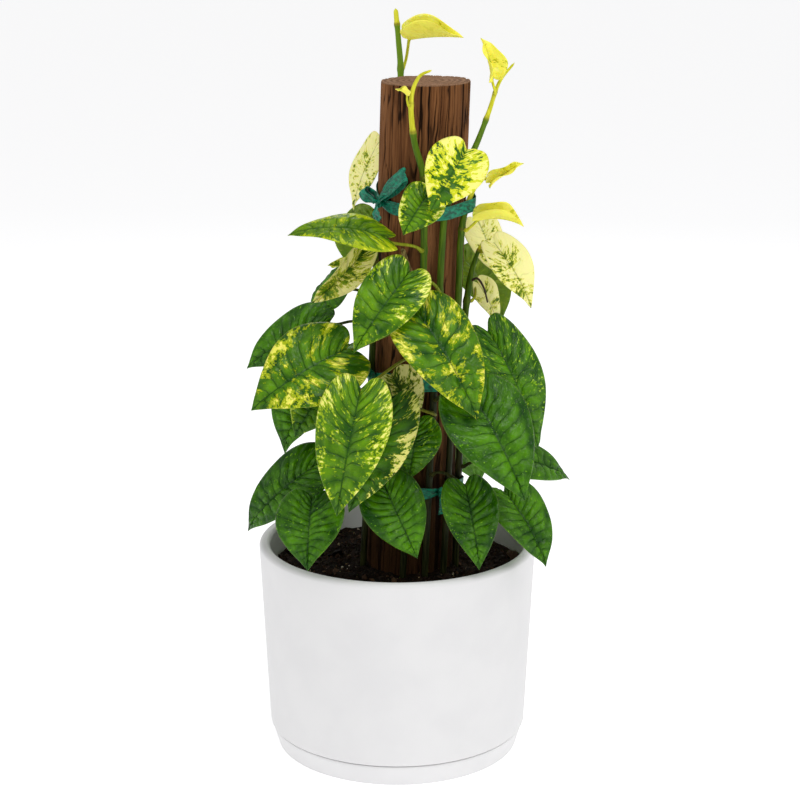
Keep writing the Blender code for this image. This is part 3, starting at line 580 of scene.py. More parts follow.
def nuggets(count, size, seed, flatness, tones):
    """Small rough lumps on the soil: a ring of six points between two poles, stretched, turned
    and set down.  All are worked out at once as one array of (lump, point, axis)."""
    draw = np.random.default_rng(seed)
    angle = draw.uniform(0, 2 * np.pi, count)
    reach = np.sqrt(draw.uniform(0.12, 0.93, count)) * SOIL_RADIUS
    x, y = reach * np.cos(angle), reach * np.sin(angle)
    keep = np.hypot(x - POST_FOOT_X, y) > POST_RADIUS + 0.002
    x, y, count = x[keep], y[keep], int(keep.sum())
    turn = turns(NUGGET_SIDES)
    ring = np.stack([np.cos(turn), np.sin(turn), 0.35 * np.sin(3 * turn)], -1)
    shape = np.concatenate([ring, [[0, 0, 1], [0.1, 0, -1]]])
    shape = shape[None] * draw.uniform(0.65, 1.3, (count, len(shape), 1))
    length = size * draw.lognormal(0, 0.38, count)
    shape = shape * np.stack([length, length * draw.uniform(0.4, 0.8, count),
                              length * flatness * draw.uniform(0.6, 1.4, count)], -1)[:, None]
    spin, tip = draw.uniform(0, 2 * np.pi, count), draw.normal(0, 0.45, count)
    a, b, c = np.moveaxis(shape, -1, 0)
    a, c = rotated(a, c, tip[:, None])
    a, b = rotated(a, b, spin[:, None])
    rest = soil_height(x, y) + 0.2 * length
    points = np.stack([x[:, None] + a, y[:, None] + b, rest[:, None] + c], -1)
    points[..., 2] = np.minimum(points[..., 2], SOIL_TOP + 0.004)
    j = np.arange(NUGGET_SIDES)
    after = (j + 1) % NUGGET_SIDES
    up = np.stack([j, after, np.full(NUGGET_SIDES, NUGGET_SIDES)], -1)
    down = np.stack([after, j, np.full(NUGGET_SIDES, NUGGET_SIDES + 1)], -1)
    first = np.arange(count)[:, None, None] * (NUGGET_SIDES + 2)
    tris = (np.concatenate([up, down])[None] + first).reshape(-1, 3)
    tone = np.repeat(draw.uniform(*tones, count), NUGGET_SIDES + 2)[:, None]
    return Skin(points.reshape(-1, 3), np.zeros((0, 4), int), tris, {"tone": tone})


def bark():
    """Chips of bark, from black-brown to tan, by the tone of each chip."""
    made, shader, link = finish("bark chips", IOR=1.4, Specular_IOR_Level=0.3)
    tone = link.value_note("tone")
    place = link.place()
    fleck = place.grain(900, 3.0)
    stops = [(0.0, (0.005, 0.003, 0.002)), (0.55, (0.028, 0.012, 0.006)), (0.8, (0.095, 0.045, 0.022)),
             (0.93, (0.26, 0.17, 0.09)), (1.0, (0.62, 0.56, 0.46))]
    ramp = tone.node("ValToRGB", {"stops": stops}, {0: tone + (fleck - 0.5) * 0.3})
    wire(shader, Base_Color=ramp, Roughness=0.7 + fleck * 0.2, Normal=fleck.bump(0.0008))
    return made


bark_chips = bark()
piece("soil_mix", [(soil_skin(), potting_mix())], ["soil"])
piece("soil_chips", [(nuggets(*kind), bark_chips) for kind in NUGGETS], [], 20)

# %% [markdown]
# ## The stems
#
# A pothos stem is a smooth green cane with a ring at each node, where a leaf's stalk leaves it.
# Above its last node the new growth is yellow.  Each stem follows places given round the post, as
# in the CAD model, on a smooth curve.  Its radius swells at the nodes, and notes on its points say
# how young it is and how near a node.

# %% Stems
VINE_RADIUS, TIP_RADIUS, ROOT_RADIUS = 0.0031, 0.0010, 0.0010
VINE_SIDES, VINE_STEPS = 16, 14
VINE_BURIED = 0.009              # how far a stem goes on below its first place


@dataclass
class Vine:
    """A stem through places on the post, yellow above the height young."""
    name: str
    young: float
    places: list
    tip: float = TIP_RADIUS
    root: tuple = ()


VINES = [
    Vine("vine_front", 0.396, [(-98, 0.005, 0.003), (-95, 0.005, 0.10), (-88, 0.005, 0.20),
                               (-86, 0.005, 0.26), (-87, 0.005, 0.313), (-89, 0.005, 0.356),
                               (-101, 0.008, 0.390), (-104, 0.013, 0.424), (-98, 0.012, 0.443),
                               (-86, 0.015, 0.450)]),
    Vine("vine_front_right", 0.406, [(-72, 0.005, 0.003), (-70, 0.005, 0.12), (-67, 0.006, 0.26),
                                     (-66, 0.006, 0.297), (-63, 0.006, 0.330), (-48, 0.010, 0.362),
                                     (-35, 0.015, 0.385), (-20, 0.019, 0.412), (-11, 0.025, 0.437),
                                     (-8, 0.037, 0.454)]),
    Vine("vine_right", 0.330, [(-46, 0.005, 0.003), (-42, 0.005, 0.15), (-40, 0.006, 0.264),
                               (-40, 0.006, 0.300), (-37, 0.008, 0.328), (-28, 0.013, 0.350),
                               (-24, 0.020, 0.362)]),
    Vine("vine_right_rear", 0.290, [(-18, 0.005, 0.003), (-20, 0.005, 0.12), (-20, 0.005, 0.22),
                                    (-15, 0.007, 0.262), (-11, 0.011, 0.284), (-9, 0.017, 0.300)],
         root=((-15, 0.008, 0.264), (-18, 0.015, 0.267), (-14, 0.020, 0.258), (-10, 0.023, 0.245))),
    Vine("vine_left", 0.290, [(-163, 0.005, 0.003), (-158, 0.005, 0.10), (-154, 0.005, 0.20),
                              (-150, 0.006, 0.285), (-150, 0.010, 0.305)]),
    Vine("vine_rear_left", 0.478, [(150, 0.005, 0.003), (142, 0.005, 0.12), (130, 0.005, 0.26),
                                   (120, 0.006, 0.38), (117, 0.009, 0.434), (119, 0.012, 0.465),
                                   (122, 0.014, 0.492)], 0.0022),
    Vine("vine_rear", 0.360, [(72, 0.005, 0.003), (78, 0.005, 0.13), (70, 0.005, 0.27), (62, 0.007, 0.345),
                              (56, 0.013, 0.378)]),
]
ROUTES = {vine.name: through(on_post(vine.places), VINE_STEPS) for vine in VINES}


def stem_at(route, height):
    """The point of a route at a height."""
    return np.array([np.interp(height, route[:, 2], route[:, axis]) for axis in range(3)])


def vine_parts(vine):
    """The stem with a swelling and a ring at each node, and its aerial root if it has one."""
    route = ROUTES[vine.name]
    route = np.concatenate([route[:1] - (0, 0, VINE_BURIED), route])
    run = np.linspace(0, 1, len(route))
    nodes = np.array([leaf.node for leaf in LEAVES if leaf.vine == vine.name] + [vine.young])
    near = np.exp(-((route[:, 2:] - nodes) / 0.0026) ** 2).max(1)
    ring = np.exp(-((route[:, 2:] - nodes - 0.0012) / 0.0009) ** 2).max(1)
    radii = VINE_RADIUS + (vine.tip - VINE_RADIUS) * np.maximum(run - 0.6, 0) / 0.4
    radii = radii * (0.94 + 0.20 * near + 0.10 * ring) * (1 - 0.85 * ease(run, 0.985, 1.0))
    young = ease(route[:, 2], vine.young - 0.001, vine.young + 0.002)
    parts = [tube(lean(route), radii, VINE_SIDES, young=young, scar=ring)]
    if vine.root:
        path = through(on_post(vine.root), 8)
        thin = ROOT_RADIUS * np.linspace(1.15, 0.75, len(path))
        parts.append(tube(lean(path), thin, 10, young=np.full(len(path), -1.0), scar=np.zeros(len(path))))
    return parts


def stem_flesh():
    """Waxy stem: deep green, lighter at the top with painted light, darker low down where older and with
    painted shade, yellow where young, brown in the rings and on aerial roots.
    """
    made, shader, link = finish("stem flesh", IOR=1.45, Specular_IOR_Level=0.18)
    young = link.value_note("young")
    scar = link.value_note("scar")
    place = link.place()
    streak = place.grain((500, 500, 40), 3.0)
    tone = streak.between(0.35, 0.7)
    height = place.parts()[2]
    green = tone.mix((0.038, 0.090, 0.002), (0.100, 0.180, 0.005))
    # darker green of the older stems low down, deepened by painted shade
    old_and_shaded = tone.mix((0.010, 0.014, 0.003), (0.040, 0.042, 0.010))
    # painted light: the stems near the top are lighter green
    green = (height.between(0.52, 0.62) * 0.8).mix(green, (0.150, 0.280, 0.010))
    green = height.between(0.46, 0.32).mix(green, old_and_shaded)          # the older stems low down are darker, and painted shade under the leaves darkens them more
    yellow = tone.mix((0.52, 0.52, 0.014), (0.72, 0.70, 0.050))
    flesh = young.between(0.0, 1.0).mix(green, yellow)
    flesh = (scar * 0.8).mix(flesh, (0.12, 0.08, 0.015))
    flesh = young.between(-0.2, -0.8).mix(flesh, (0.055, 0.035, 0.020))
    wire(shader, Base_Color=flesh, Roughness=0.38 + streak * 0.2, Normal=streak.bump(0.0003))
    return made


# %% [markdown]
# ## The leaves
#
# A pothos leaf is a heart that hangs from its stalk by a hidden joint, with a midrib that is a
# groove above and a keel below, and side veins that leave the midrib squarely and sweep towards
# the tip.  Between the veins the blade swells, most of all in old leaves.  A point of the blade is
# given by its station, counted in side veins from the notch to the tip, and its rib, from one
# margin to the other.  With those two numbers the shape, the quilting and the colours all follow
# the veins.  The large shape is the same formula as in the CAD model.

# %% Leaf shape
PETIOLE_RADIUS, PETIOLE_SIDES, PETIOLE_STEPS = 0.0017, 12, 26
HUB_STATION, HUB_DROP = 0.05, 0.0003               # where a stalk meets the midrib, and how far under
BLADE, KEEL, KEEL_WIDTH = 0.0006, 0.0009, 0.0011
STATIONS, RIBS = 112, 14         # along the blade, and across each half
MARGIN_VEIN = 0.84               # share of the half width where the side veins join
BROAD = 0.06                     # width from which a blade swells in full
HALF_OUTLINE = np.array([(0.06, -0.25), (0.0, 0.0), (-0.085, 0.25), (-0.085, 0.58), (0.055, 0.89),
                         (0.27, 1.0), (0.52, 0.86), (0.74, 0.54), (0.90, 0.20), (1.0, 0.0),
                         (1.06, -0.05)])


@dataclass
class Leaf:
    """A leaf with its stalk, laid out as in the CAD model: base, tip and via are places on the
    post, faces and sky the way that its upper side looks, and arch, fold and curl its form."""
    name: str
    vine: str
    node: float
    base: tuple
    tip: tuple
    width: float
    faces: float
    colour: str = "green"
    sky: float = 0.5
    arch: float = 0.07
    fold: float = 20.0
    curl: float = -30.0
    via: tuple = ()


LEAVES = [
    # the crown
    Leaf("leaf_top_flag", "vine_rear_left", 0.440, (110, 0.009, 0.466), (44, 0.006, 0.470), 0.044, -90,
         "pale", 1.4, 0.04, 62, 35),
    Leaf("leaf_top_bud", "vine_front", 0.420, (-106, 0.017, 0.429), (-114, 0.026, 0.434), 0.010, -90,
         "pale", 1.0, 0.10, 60, 60),
    Leaf("leaf_top_right", "vine_front_right", 0.428, (-15, 0.020, 0.441), (-14, 0.008, 0.474), 0.032, -70,
         "pale", 0.6, 0.10, 38, 45),
    Leaf("leaf_heart", "vine_front_right", 0.376, (-61, 0.034, 0.386), (-86, 0.047, 0.337), 0.052, -80,
         "lime", 0.7, 0.08, 12, -25),
    Leaf("leaf_under_heart", "vine_front", 0.358, (-84, 0.022, 0.350), (-102, 0.038, 0.314), 0.040, -95,
         "marbled", 0.6, 0.10, 10, -40),
    Leaf("leaf_rear_cream", "vine_rear_left", 0.378, (128, 0.024, 0.374), (140, 0.040, 0.312), 0.046, -150,
         "cream", 0.2, 0.06, 15, -25),
    # left side
    Leaf("leaf_left_long", "vine_front", 0.296, (-117, 0.026, 0.308), (-150, 0.092, 0.309), 0.045, -100,
         "olive", 1.8, 0.12, 12, -35),
    Leaf("leaf_left_curl", "vine_left", 0.262, (-172, 0.019, 0.270), (-178, 0.042, 0.272), 0.020, -90,
         "cream", 0.7, 0.10, 45, 40),
    Leaf("leaf_left_narrow", "vine_left", 0.280, (-150, 0.016, 0.292), (-163, 0.059, 0.243), 0.036, -60,
         "cream", 0.3, 0.10, 35, 20),
    Leaf("leaf_left_dark", "vine_rear_left", 0.234, (168, 0.026, 0.250), (160, 0.064, 0.226), 0.050, -150,
         "green", 0.8, 0.08),
    Leaf("leaf_marbled", "vine_front_right", 0.260, (-97, 0.036, 0.283), (-117, 0.081, 0.219), 0.056, -98,
         "marbled", 0.6, 0.07, 18, -25),
    Leaf("leaf_left_patched", "vine_front", 0.222, (-130, 0.055, 0.214), (-145, 0.132, 0.164), 0.080, -100,
         "patched", 0.75, 0.10, 14, -30),
    Leaf("leaf_left_plain", "vine_rear_left", 0.205, (-168, 0.040, 0.224), (-172, 0.112, 0.181), 0.054, -110,
         "green", 0.8, 0.10, 16, -30),
    Leaf("leaf_left_low_plain", "vine_left", 0.160, (-164, 0.052, 0.181), (-156, 0.085, 0.113), 0.060, -125,
         "green", 0.5, 0.08, 18, -25),
    Leaf("leaf_left_marbled", "vine_left", 0.142, (-135, 0.056, 0.196), (-142, 0.092, 0.137), 0.060, -110,
         "marbled", 0.5, 0.06, 15, -25),
    # front
    Leaf("leaf_big_front", "vine_front", 0.204, (-113, 0.082, 0.190), (-114, 0.119, 0.087), 0.064, -95,
         "marbled", 0.6, 0.08, 14, -30, via=(-101, 0.040, 0.205)),
    Leaf("leaf_front_cream", "vine_front", 0.164, (-110, 0.024, 0.189), (-89, 0.027, 0.150), 0.044, -85,
         "cream", 0.3, 0.06, 14, -25),
    Leaf("leaf_front_marbled", "vine_front_right", 0.152, (-104, 0.046, 0.176), (-117, 0.082, 0.079), 0.062,
         -85, "marbled", 0.4, 0.05, 14, -25, via=(-79, 0.038, 0.160)),
    Leaf("leaf_front_small", "vine_front", 0.120, (-88, 0.018, 0.149), (-94, 0.028, 0.097), 0.046, -80,
         "flecked", 0.4, 0.06, 12, -25),
    Leaf("leaf_centre_patched", "vine_front_right", 0.240, (-93, 0.040, 0.252), (-66, 0.088, 0.166), 0.072,
         -75, "patched", 0.75, 0.09, 18, -30),
    Leaf("leaf_right_dark", "vine_right_rear", 0.204, (-28, 0.030, 0.224), (-24, 0.080, 0.123), 0.062, -65,
         "flecked", 0.6, 0.09, 16, -30),
    Leaf("leaf_big_right", "vine_front_right", 0.164, (-63, 0.060, 0.185), (-54, 0.120, 0.101), 0.076, -80,
         "green", 0.75, 0.09, 14, -30),
    # low
    Leaf("leaf_low_far_right", "vine_right_rear", 0.096, (-24, 0.034, 0.110), (2, 0.104, 0.080), 0.050, -90,
         "green", 1.5, 0.10, 16, -30),
    Leaf("leaf_low_far_left", "vine_left", 0.100, (-152, 0.052, 0.104), (-168, 0.110, 0.034), 0.056, -115,
         "green", 0.8, 0.12, 18, -30),
    Leaf("leaf_low_left", "vine_left", 0.058, (-137, 0.080, 0.084), (-127, 0.108, 0.029), 0.062, -105,
         "green", 0.45, 0.08, 14, -25),
    Leaf("leaf_low_front", "vine_front", 0.096, (-108, 0.046, 0.098), (-87, 0.064, 0.038), 0.056, -95,
         "green", 0.5, 0.08, 16, -25),
    Leaf("leaf_low_right", "vine_front_right", 0.096, (-60, 0.050, 0.098), (-62, 0.086, 0.032), 0.050, -80,
         "green", 0.5, 0.08, 18, -25),
    Leaf("leaf_low_right_side", "vine_right", 0.060, (-38, 0.062, 0.088), (-38, 0.110, 0.030), 0.054, -60,
         "green", 0.6, 0.10, 18, -25),
    # right side
    Leaf("leaf_right_rolled", "vine_right", 0.356, (-21, 0.024, 0.352), (-14, 0.050, 0.370), 0.024, -70,
         "pale", 0.8, 0.08, 50, 40),
    Leaf("leaf_right_curled", "vine_right", 0.312, (-37, 0.020, 0.322), (-20, 0.055, 0.317), 0.036, -60,
         "pale", 1.2, 0.14, 48, 55),
    Leaf("leaf_right_cream", "vine_rear", 0.298, (36, 0.024, 0.309), (20, 0.036, 0.262), 0.040, -60,
         "cream", 0.3, 0.06, 12, -20),
    Leaf("leaf_right_pale", "vine_right_rear", 0.290, (-10, 0.026, 0.298), (-12, 0.062, 0.243), 0.042, -60,
         "cream", 0.4, 0.09, 20, -20),
    Leaf("leaf_right_olive", "vine_right_rear", 0.246, (10, 0.014, 0.258), (14, 0.034, 0.220), 0.028, -50,
         "cream", 0.3, 0.08, 25, -20),
    # back
    Leaf("leaf_back_high", "vine_rear", 0.336, (82, 0.034, 0.348), (98, 0.058, 0.292), 0.050, 90,
         "lime", 0.5, 0.08, 16, -25),
    Leaf("leaf_back_upper_middle", "vine_rear", 0.240, (92, 0.044, 0.278), (96, 0.084, 0.208), 0.058, 92,
         "marbled", 0.6, 0.09, 16, -28),
    Leaf("leaf_back_centre", "vine_rear", 0.112, (96, 0.050, 0.136), (98, 0.104, 0.066), 0.066, 96,
         "green", 0.6, 0.09, 16, -28),
    Leaf("leaf_back_upper_left", "vine_rear_left", 0.300, (124, 0.036, 0.312), (118, 0.078, 0.240), 0.062,
         120, "marbled", 0.6, 0.09, 16, -28),
    Leaf("leaf_back_upper_right", "vine_rear", 0.262, (62, 0.040, 0.274), (50, 0.084, 0.200), 0.066, 58,
         "patched", 0.6, 0.09, 16, -28),
    Leaf("leaf_back_middle", "vine_rear", 0.206, (90, 0.046, 0.224), (92, 0.098, 0.140), 0.074, 92,
         "flecked", 0.6, 0.09, 15, -28),
    Leaf("leaf_back_left", "vine_rear_left", 0.168, (140, 0.046, 0.184), (146, 0.104, 0.106), 0.070, 142,
         "green", 0.6, 0.09, 16, -28),
    Leaf("leaf_back_right", "vine_rear", 0.148, (44, 0.048, 0.166), (34, 0.106, 0.092), 0.070, 38,
         "green", 0.6, 0.09, 16, -28),
    Leaf("leaf_back_low_left", "vine_rear_left", 0.058, (122, 0.050, 0.092), (118, 0.104, 0.034), 0.060, 120,
         "green", 0.6, 0.10, 16, -28),
    Leaf("leaf_back_low_right", "vine_rear", 0.056, (70, 0.050, 0.090), (62, 0.104, 0.034), 0.060, 66,
         "green", 0.6, 0.10, 16, -28),
]

# %% [markdown]
# Each kind of leaf has its own relief.  Old green leaves are deeply quilted, and young pale ones
# nearly smooth.  `veins` is the number of side veins to a half, `quilt` how far the blade swells
# between them in metres, `flutter` how far the margin waves, and `young` how yellow the stalk is.

# %% Leaf relief
@dataclass
class Relief:
    veins: int
    quilt: float
    flutter: float
    young: float


RELIEFS = {
    "pale": Relief(5, 0.0012, 0.0018, 0.9), "lime": Relief(9, 0.0013, 0.0014, 0.55),
    "olive": Relief(10, 0.0015, 0.0014, 0.40), "cream": Relief(7, 0.0010, 0.0013, 0.6),
    "marbled": Relief(13, 0.0020, 0.0014, 0.30), "patched": Relief(12, 0.0022, 0.0016, 0.25),
    "flecked": Relief(13, 0.0026, 0.0015, 0.15), "green": Relief(14, 0.0028, 0.0014, 0.10),
}


def outline(station):
    """The half outline as a Catmull-Rom curve through its points, station from 0 to 1."""
    spans = len(HALF_OUTLINE) - 3
    span = np.minimum((station * spans).astype(int), spans - 1)
    return spline(*(HALF_OUTLINE[span + k] for k in range(4)), (station * spans - span)[..., None])


def blade(leaf, length, station, rib):
    """The blade's middle surface and the distance from the midrib, for arrays of station and rib.

    A side vein starts at station^1.25 of the length and ends on the outline.  Across the blade
    the surface leaves the midrib at the angle fold and bends evenly by curl to the margin.  The
    whole is arched by 4 a x (1 - x)."""
    edge, away = outline(station), np.abs(rib)
    middle = station ** 1.25
    along = middle + (edge[..., 0] - middle) * away ** 1.35
    half = leaf.width / 2
    flat = np.maximum(edge[..., 1], 0) * half * away
    fold, bend = math.radians(leaf.fold), math.radians(leaf.curl) / half
    across = np.sign(rib) * (np.sin(fold + bend * flat) - math.sin(fold)) / bend
    up = (math.cos(fold) - np.cos(fold + bend * flat)) / bend
    up = up + 4 * leaf.arch * length * along * (1 - along)
    return np.stack([along * length, across, up], -1), flat * np.sign(rib)


def blade_axes(leaf):
    """The blade's base, its axes as rows (along, across, up) in the post's frame, and its length."""
    base, tip = on_post(leaf.base), on_post(leaf.tip)
    along = unit(tip - base)
    turn = math.radians(leaf.faces)
    up = np.array([math.cos(turn), math.sin(turn), leaf.sky])
    up = unit(up - along * (up @ along))
    return base, np.stack([along, np.cross(up, along), up]), np.linalg.norm(tip - base)


def quilting(relief, station, rib, seed):
    """Swelling of the blade from 0 to 1: none on a side vein or the midrib, most between them,
    with a line near the margin where the side veins join, and noise that breaks it up."""
    offset = np.where(rib > 0, 0.5, 0.0) * ease(np.abs(rib), 0.0, 0.12)
    vein = relief.veins * station + offset + 0.16 * noise(station * 8, rib * 4 + 9, seed)
    away = np.abs(rib)
    between = np.abs(np.sin(np.pi * vein)) ** 0.55
    inner = np.sin(np.pi * np.clip(away / MARGIN_VEIN, 0, 1)) ** 0.45
    outer = 0.55 * np.sin(np.pi * np.clip((away - MARGIN_VEIN) / (1 - MARGIN_VEIN), 0, 1))
    crease = 0.62 + 0.50 * noise(station * 15, rib * 6 + 20, seed + 1)
    fade = ease(station, 0.0, 0.12) * (1 - ease(station, 0.86, 1.0))
    return between * (inner + outer) * crease * fade, vein


def blade_skin(leaf, relief, seed):
    """The blade as rings across it: over the upper side to one margin and back underneath."""
    base, axes, length = blade_axes(leaf)
    station = np.linspace(0, 1, STATIONS + 1)[:, None]
    rib = np.linspace(-1, 1, 2 * RIBS + 1)[None]
    rib = np.sign(rib) * np.abs(rib) ** 0.9
    station, rib = np.broadcast_arrays(station, rib)
    away = np.abs(rib)
    middle, flat = blade(leaf, length, station, rib)
    nudge, inner = 1e-3, np.clip(station, 0.02, 0.98)
    ahead = blade(leaf, length, inner + nudge, rib)[0] - blade(leaf, length, inner - nudge, rib)[0]
    beside = blade(leaf, length, inner, rib + nudge)[0] - blade(leaf, length, inner, rib - nudge)[0]
    square = unit(np.cross(ahead, beside))
    swell, vein = quilting(relief, station, rib, seed)
    ripple = np.sin(2 * np.pi * (2.4 * station + 0.37 * seed) + 1.7 * np.sign(rib))
    wave = relief.flutter * away ** 3 * ripple * ease(station, 0.02, 0.2) * (1 - ease(station, 0.8, 1.0))
    size = min(1.0, leaf.width / BROAD)
    groove = -0.5 * relief.quilt * np.exp(-(away / 0.07) ** 2) * (1 - station)
    lift = size * relief.quilt * swell + wave + groove
    thick = BLADE * (1 - 0.45 * away ** 6)
    keel = KEEL * np.exp(-(np.abs(flat) / KEEL_WIDTH) ** 2) * (1 - 0.85 * station) * ease(station, 0.0, 0.05)
    upper = middle + square * (lift + thick / 2)[..., None]
    lower = middle + square * (lift - thick / 2 - keel)[..., None]
    rings = np.concatenate([upper, lower[:, ::-1]], 1)[1:-1]
    rings = lean(base + rings @ axes)
    ends = lean(base + middle[[0, -1], RIBS] @ axes)
    under = np.concatenate([0 * rib, 0 * rib + 1], 1)[1:-1]
    vein, rib, station, flat, swell = (np.concatenate([value, value[:, ::-1]], 1)[1:-1]
                                       for value in (vein, rib, station, flat, swell))
    lay = np.stack([station * length + 0.31 * seed, flat + 0.17 * seed, 0 * flat + 0.05 * seed], -1)
    return skin(rings, ends, lay=lay, vein=np.stack([vein, rib, under], -1),
                form=np.stack([station, swell, np.abs(flat)], -1))


def stalk_skin(leaf, relief):
    """The stalk: out of its node, up, and in under the blade to the hub on the midrib."""
    base, axes, length = blade_axes(leaf)
    hub = base + blade(leaf, length, np.array(HUB_STATION), np.array(0.0))[0] @ axes - axes[2] * HUB_DROP
    stem = stem_at(ROUTES[leaf.vine], leaf.node)
    outward, aside = unit(stem * (1, 1, 0)), unit((hub - stem) * (1, 1, 0))
    leave = unit(aside + outward)
    foot = stem + leave * (VINE_RADIUS * 0.5)
    heel = stem + leave * (VINE_RADIUS + PETIOLE_RADIUS)
    if leaf.via:
        path = through([heel, on_post(leaf.via), hub], PETIOLE_STEPS // 2)
    else:
        reach = np.linalg.norm(hub - heel)
        rise = heel + 0.35 * reach * leave + np.array([0, 0, 0.3 * reach])
        meet = hub - 0.32 * reach * axes[2] - 0.12 * reach * axes[0]
        path = bezier(heel, rise, meet, hub, np.linspace(0, 1, PETIOLE_STEPS + 1))
    path = np.concatenate([[foot], path])
    run = np.linspace(0, 1, len(path))
    low, high = np.exp(-(run / 0.10) ** 2), np.exp(-((1 - run) / 0.12) ** 2)        # swollen at each end
    radii = PETIOLE_RADIUS * (0.78 + 0.42 * low + 0.12 * high) * min(1.0, 0.55 + leaf.width / 0.1)
    return tube(lean(path), radii, PETIOLE_SIDES, young=np.full(len(path), relief.young),
                scar=0.5 * np.exp(-(run / 0.03) ** 2))


# %% [markdown]
# ## The leaves' colours
#
# Variegation is patches of cells that lack green, drawn out along the side veins as the leaf
# grew.  So the pattern is noise on the leaf's own coordinates, short from vein to vein and long
# along them.  One threshold gives the bright yellow-green and a higher one the cream, with crisp
# edges.  A kind of leaf is a set of colours and of thresholds, and one function makes them all.

# %% Leaf colours
@dataclass
class Leafage:
    """deep and fresh are the darker and lighter greens, with painted shade in deep on the veins' creases
    and painted light in fresh on the swells, bright and pale the two steps of variegation, and some
    and more the noise levels above which they show.  blotch is the share
    of large patches, edge how much more pale the margin is, and heart how much less the middle.
    fleck is the size of a fleck in metres, sheen the roughness, crinkle the fine relief, and
    lines how dark the painted shade along the side veins is."""
    deep: tuple
    fresh: tuple
    bright: tuple
    pale: tuple
    some: float
    more: float
    blotch: float
    edge: float
    heart: float
    fleck: float
    sheen: float
    crinkle: float
    lines: float


LEAFAGES = {
    "pale": Leafage((0.40, 0.42, 0.008), (0.84, 0.78, 0.040), (0.94, 0.89, 0.13), (0.95, 0.92, 0.30),
                    0.42, 0.56, 0.45, 0.0, 0.0, 0.0026, 0.45, 1.0, 0.05),
    "lime": Leafage((0.012, 0.085, 0.001), (0.130, 0.300, 0.002), (0.66, 0.70, 0.012), (0.94, 0.91, 0.20),
                    0.465, 0.540, 0.30, 0.03, 0.050, 0.0020, 0.36, 1.0, 0.30),
    "olive": Leafage((0.025, 0.095, 0.001), (0.180, 0.330, 0.001), (0.36, 0.46, 0.003), (0.74, 0.72, 0.03),
                     0.540, 0.640, 0.30, 0.08, 0.03, 0.0020, 0.34, 1.0, 0.45),
    "cream": Leafage((0.030, 0.090, 0.001), (0.22, 0.32, 0.006), (0.68, 0.67, 0.08), (0.90, 0.86, 0.36),
                     0.415, 0.455, 0.42, 0.02, 0.02, 0.0018, 0.45, 0.9, 0.12),
    "painted": Leafage((0.008, 0.070, 0.001), (0.085, 0.230, 0.002), (0.66, 0.70, 0.012), (0.94, 0.91, 0.22),
                       0.475, 0.545, 0.30, 0.05, 0.060, 0.0034, 0.36, 1.0, 0.15),
    "streaked": Leafage((0.018, 0.075, 0.001), (0.15, 0.27, 0.004), (0.50, 0.52, 0.04), (0.86, 0.80, 0.30),
                        0.445, 0.500, 0.42, 0.02, 0.03, 0.0020, 0.42, 1.0, 0.35),
    "broken": Leafage((0.008, 0.040, 0.001), (0.085, 0.170, 0.002), (0.42, 0.44, 0.04), (0.84, 0.78, 0.30),
                      0.470, 0.500, 0.45, 0.00, 0.05, 0.0021, 0.42, 1.0, 0.60),
    "mottled": Leafage((0.006, 0.045, 0.001), (0.070, 0.210, 0.001), (0.36, 0.44, 0.01), (0.88, 0.84, 0.24),
                       0.538, 0.566, 0.42, 0.03, 0.03, 0.0021, 0.34, 1.1, 0.55),
    "marbled": Leafage((0.008, 0.066, 0.001), (0.140, 0.320, 0.001), (0.32, 0.46, 0.003), (0.86, 0.88, 0.20),
                       0.540, 0.600, 0.34, 0.06, 0.05, 0.0020, 0.30, 1.1, 0.60),
    "patched": Leafage((0.006, 0.060, 0.001), (0.115, 0.290, 0.001), (0.38, 0.46, 0.003), (0.88, 0.84, 0.12),
                       0.520, 0.580, 0.52, 0.03, 0.03, 0.0018, 0.30, 1.1, 0.55),
    "flecked": Leafage((0.005, 0.052, 0.001), (0.095, 0.275, 0.001), (0.20, 0.40, 0.003), (0.62, 0.70, 0.08),
                       0.565, 0.625, 0.22, 0.02, 0.01, 0.0014, 0.28, 1.2, 0.45),
    "green": Leafage((0.005, 0.050, 0.001), (0.088, 0.270, 0.001), (0.15, 0.38, 0.003), (0.50, 0.64, 0.12),
                     0.605, 0.680, 0.16, 0.01, 0.0, 0.0012, 0.27, 1.2, 0.45),
}
LOOKS = {                        # leaves whose pattern differs from their kind's
    "leaf_heart": "painted",
    "leaf_front_cream": "broken", "leaf_front_marbled": "mottled",
    "leaf_left_curl": "streaked", "leaf_left_narrow": "streaked",
}


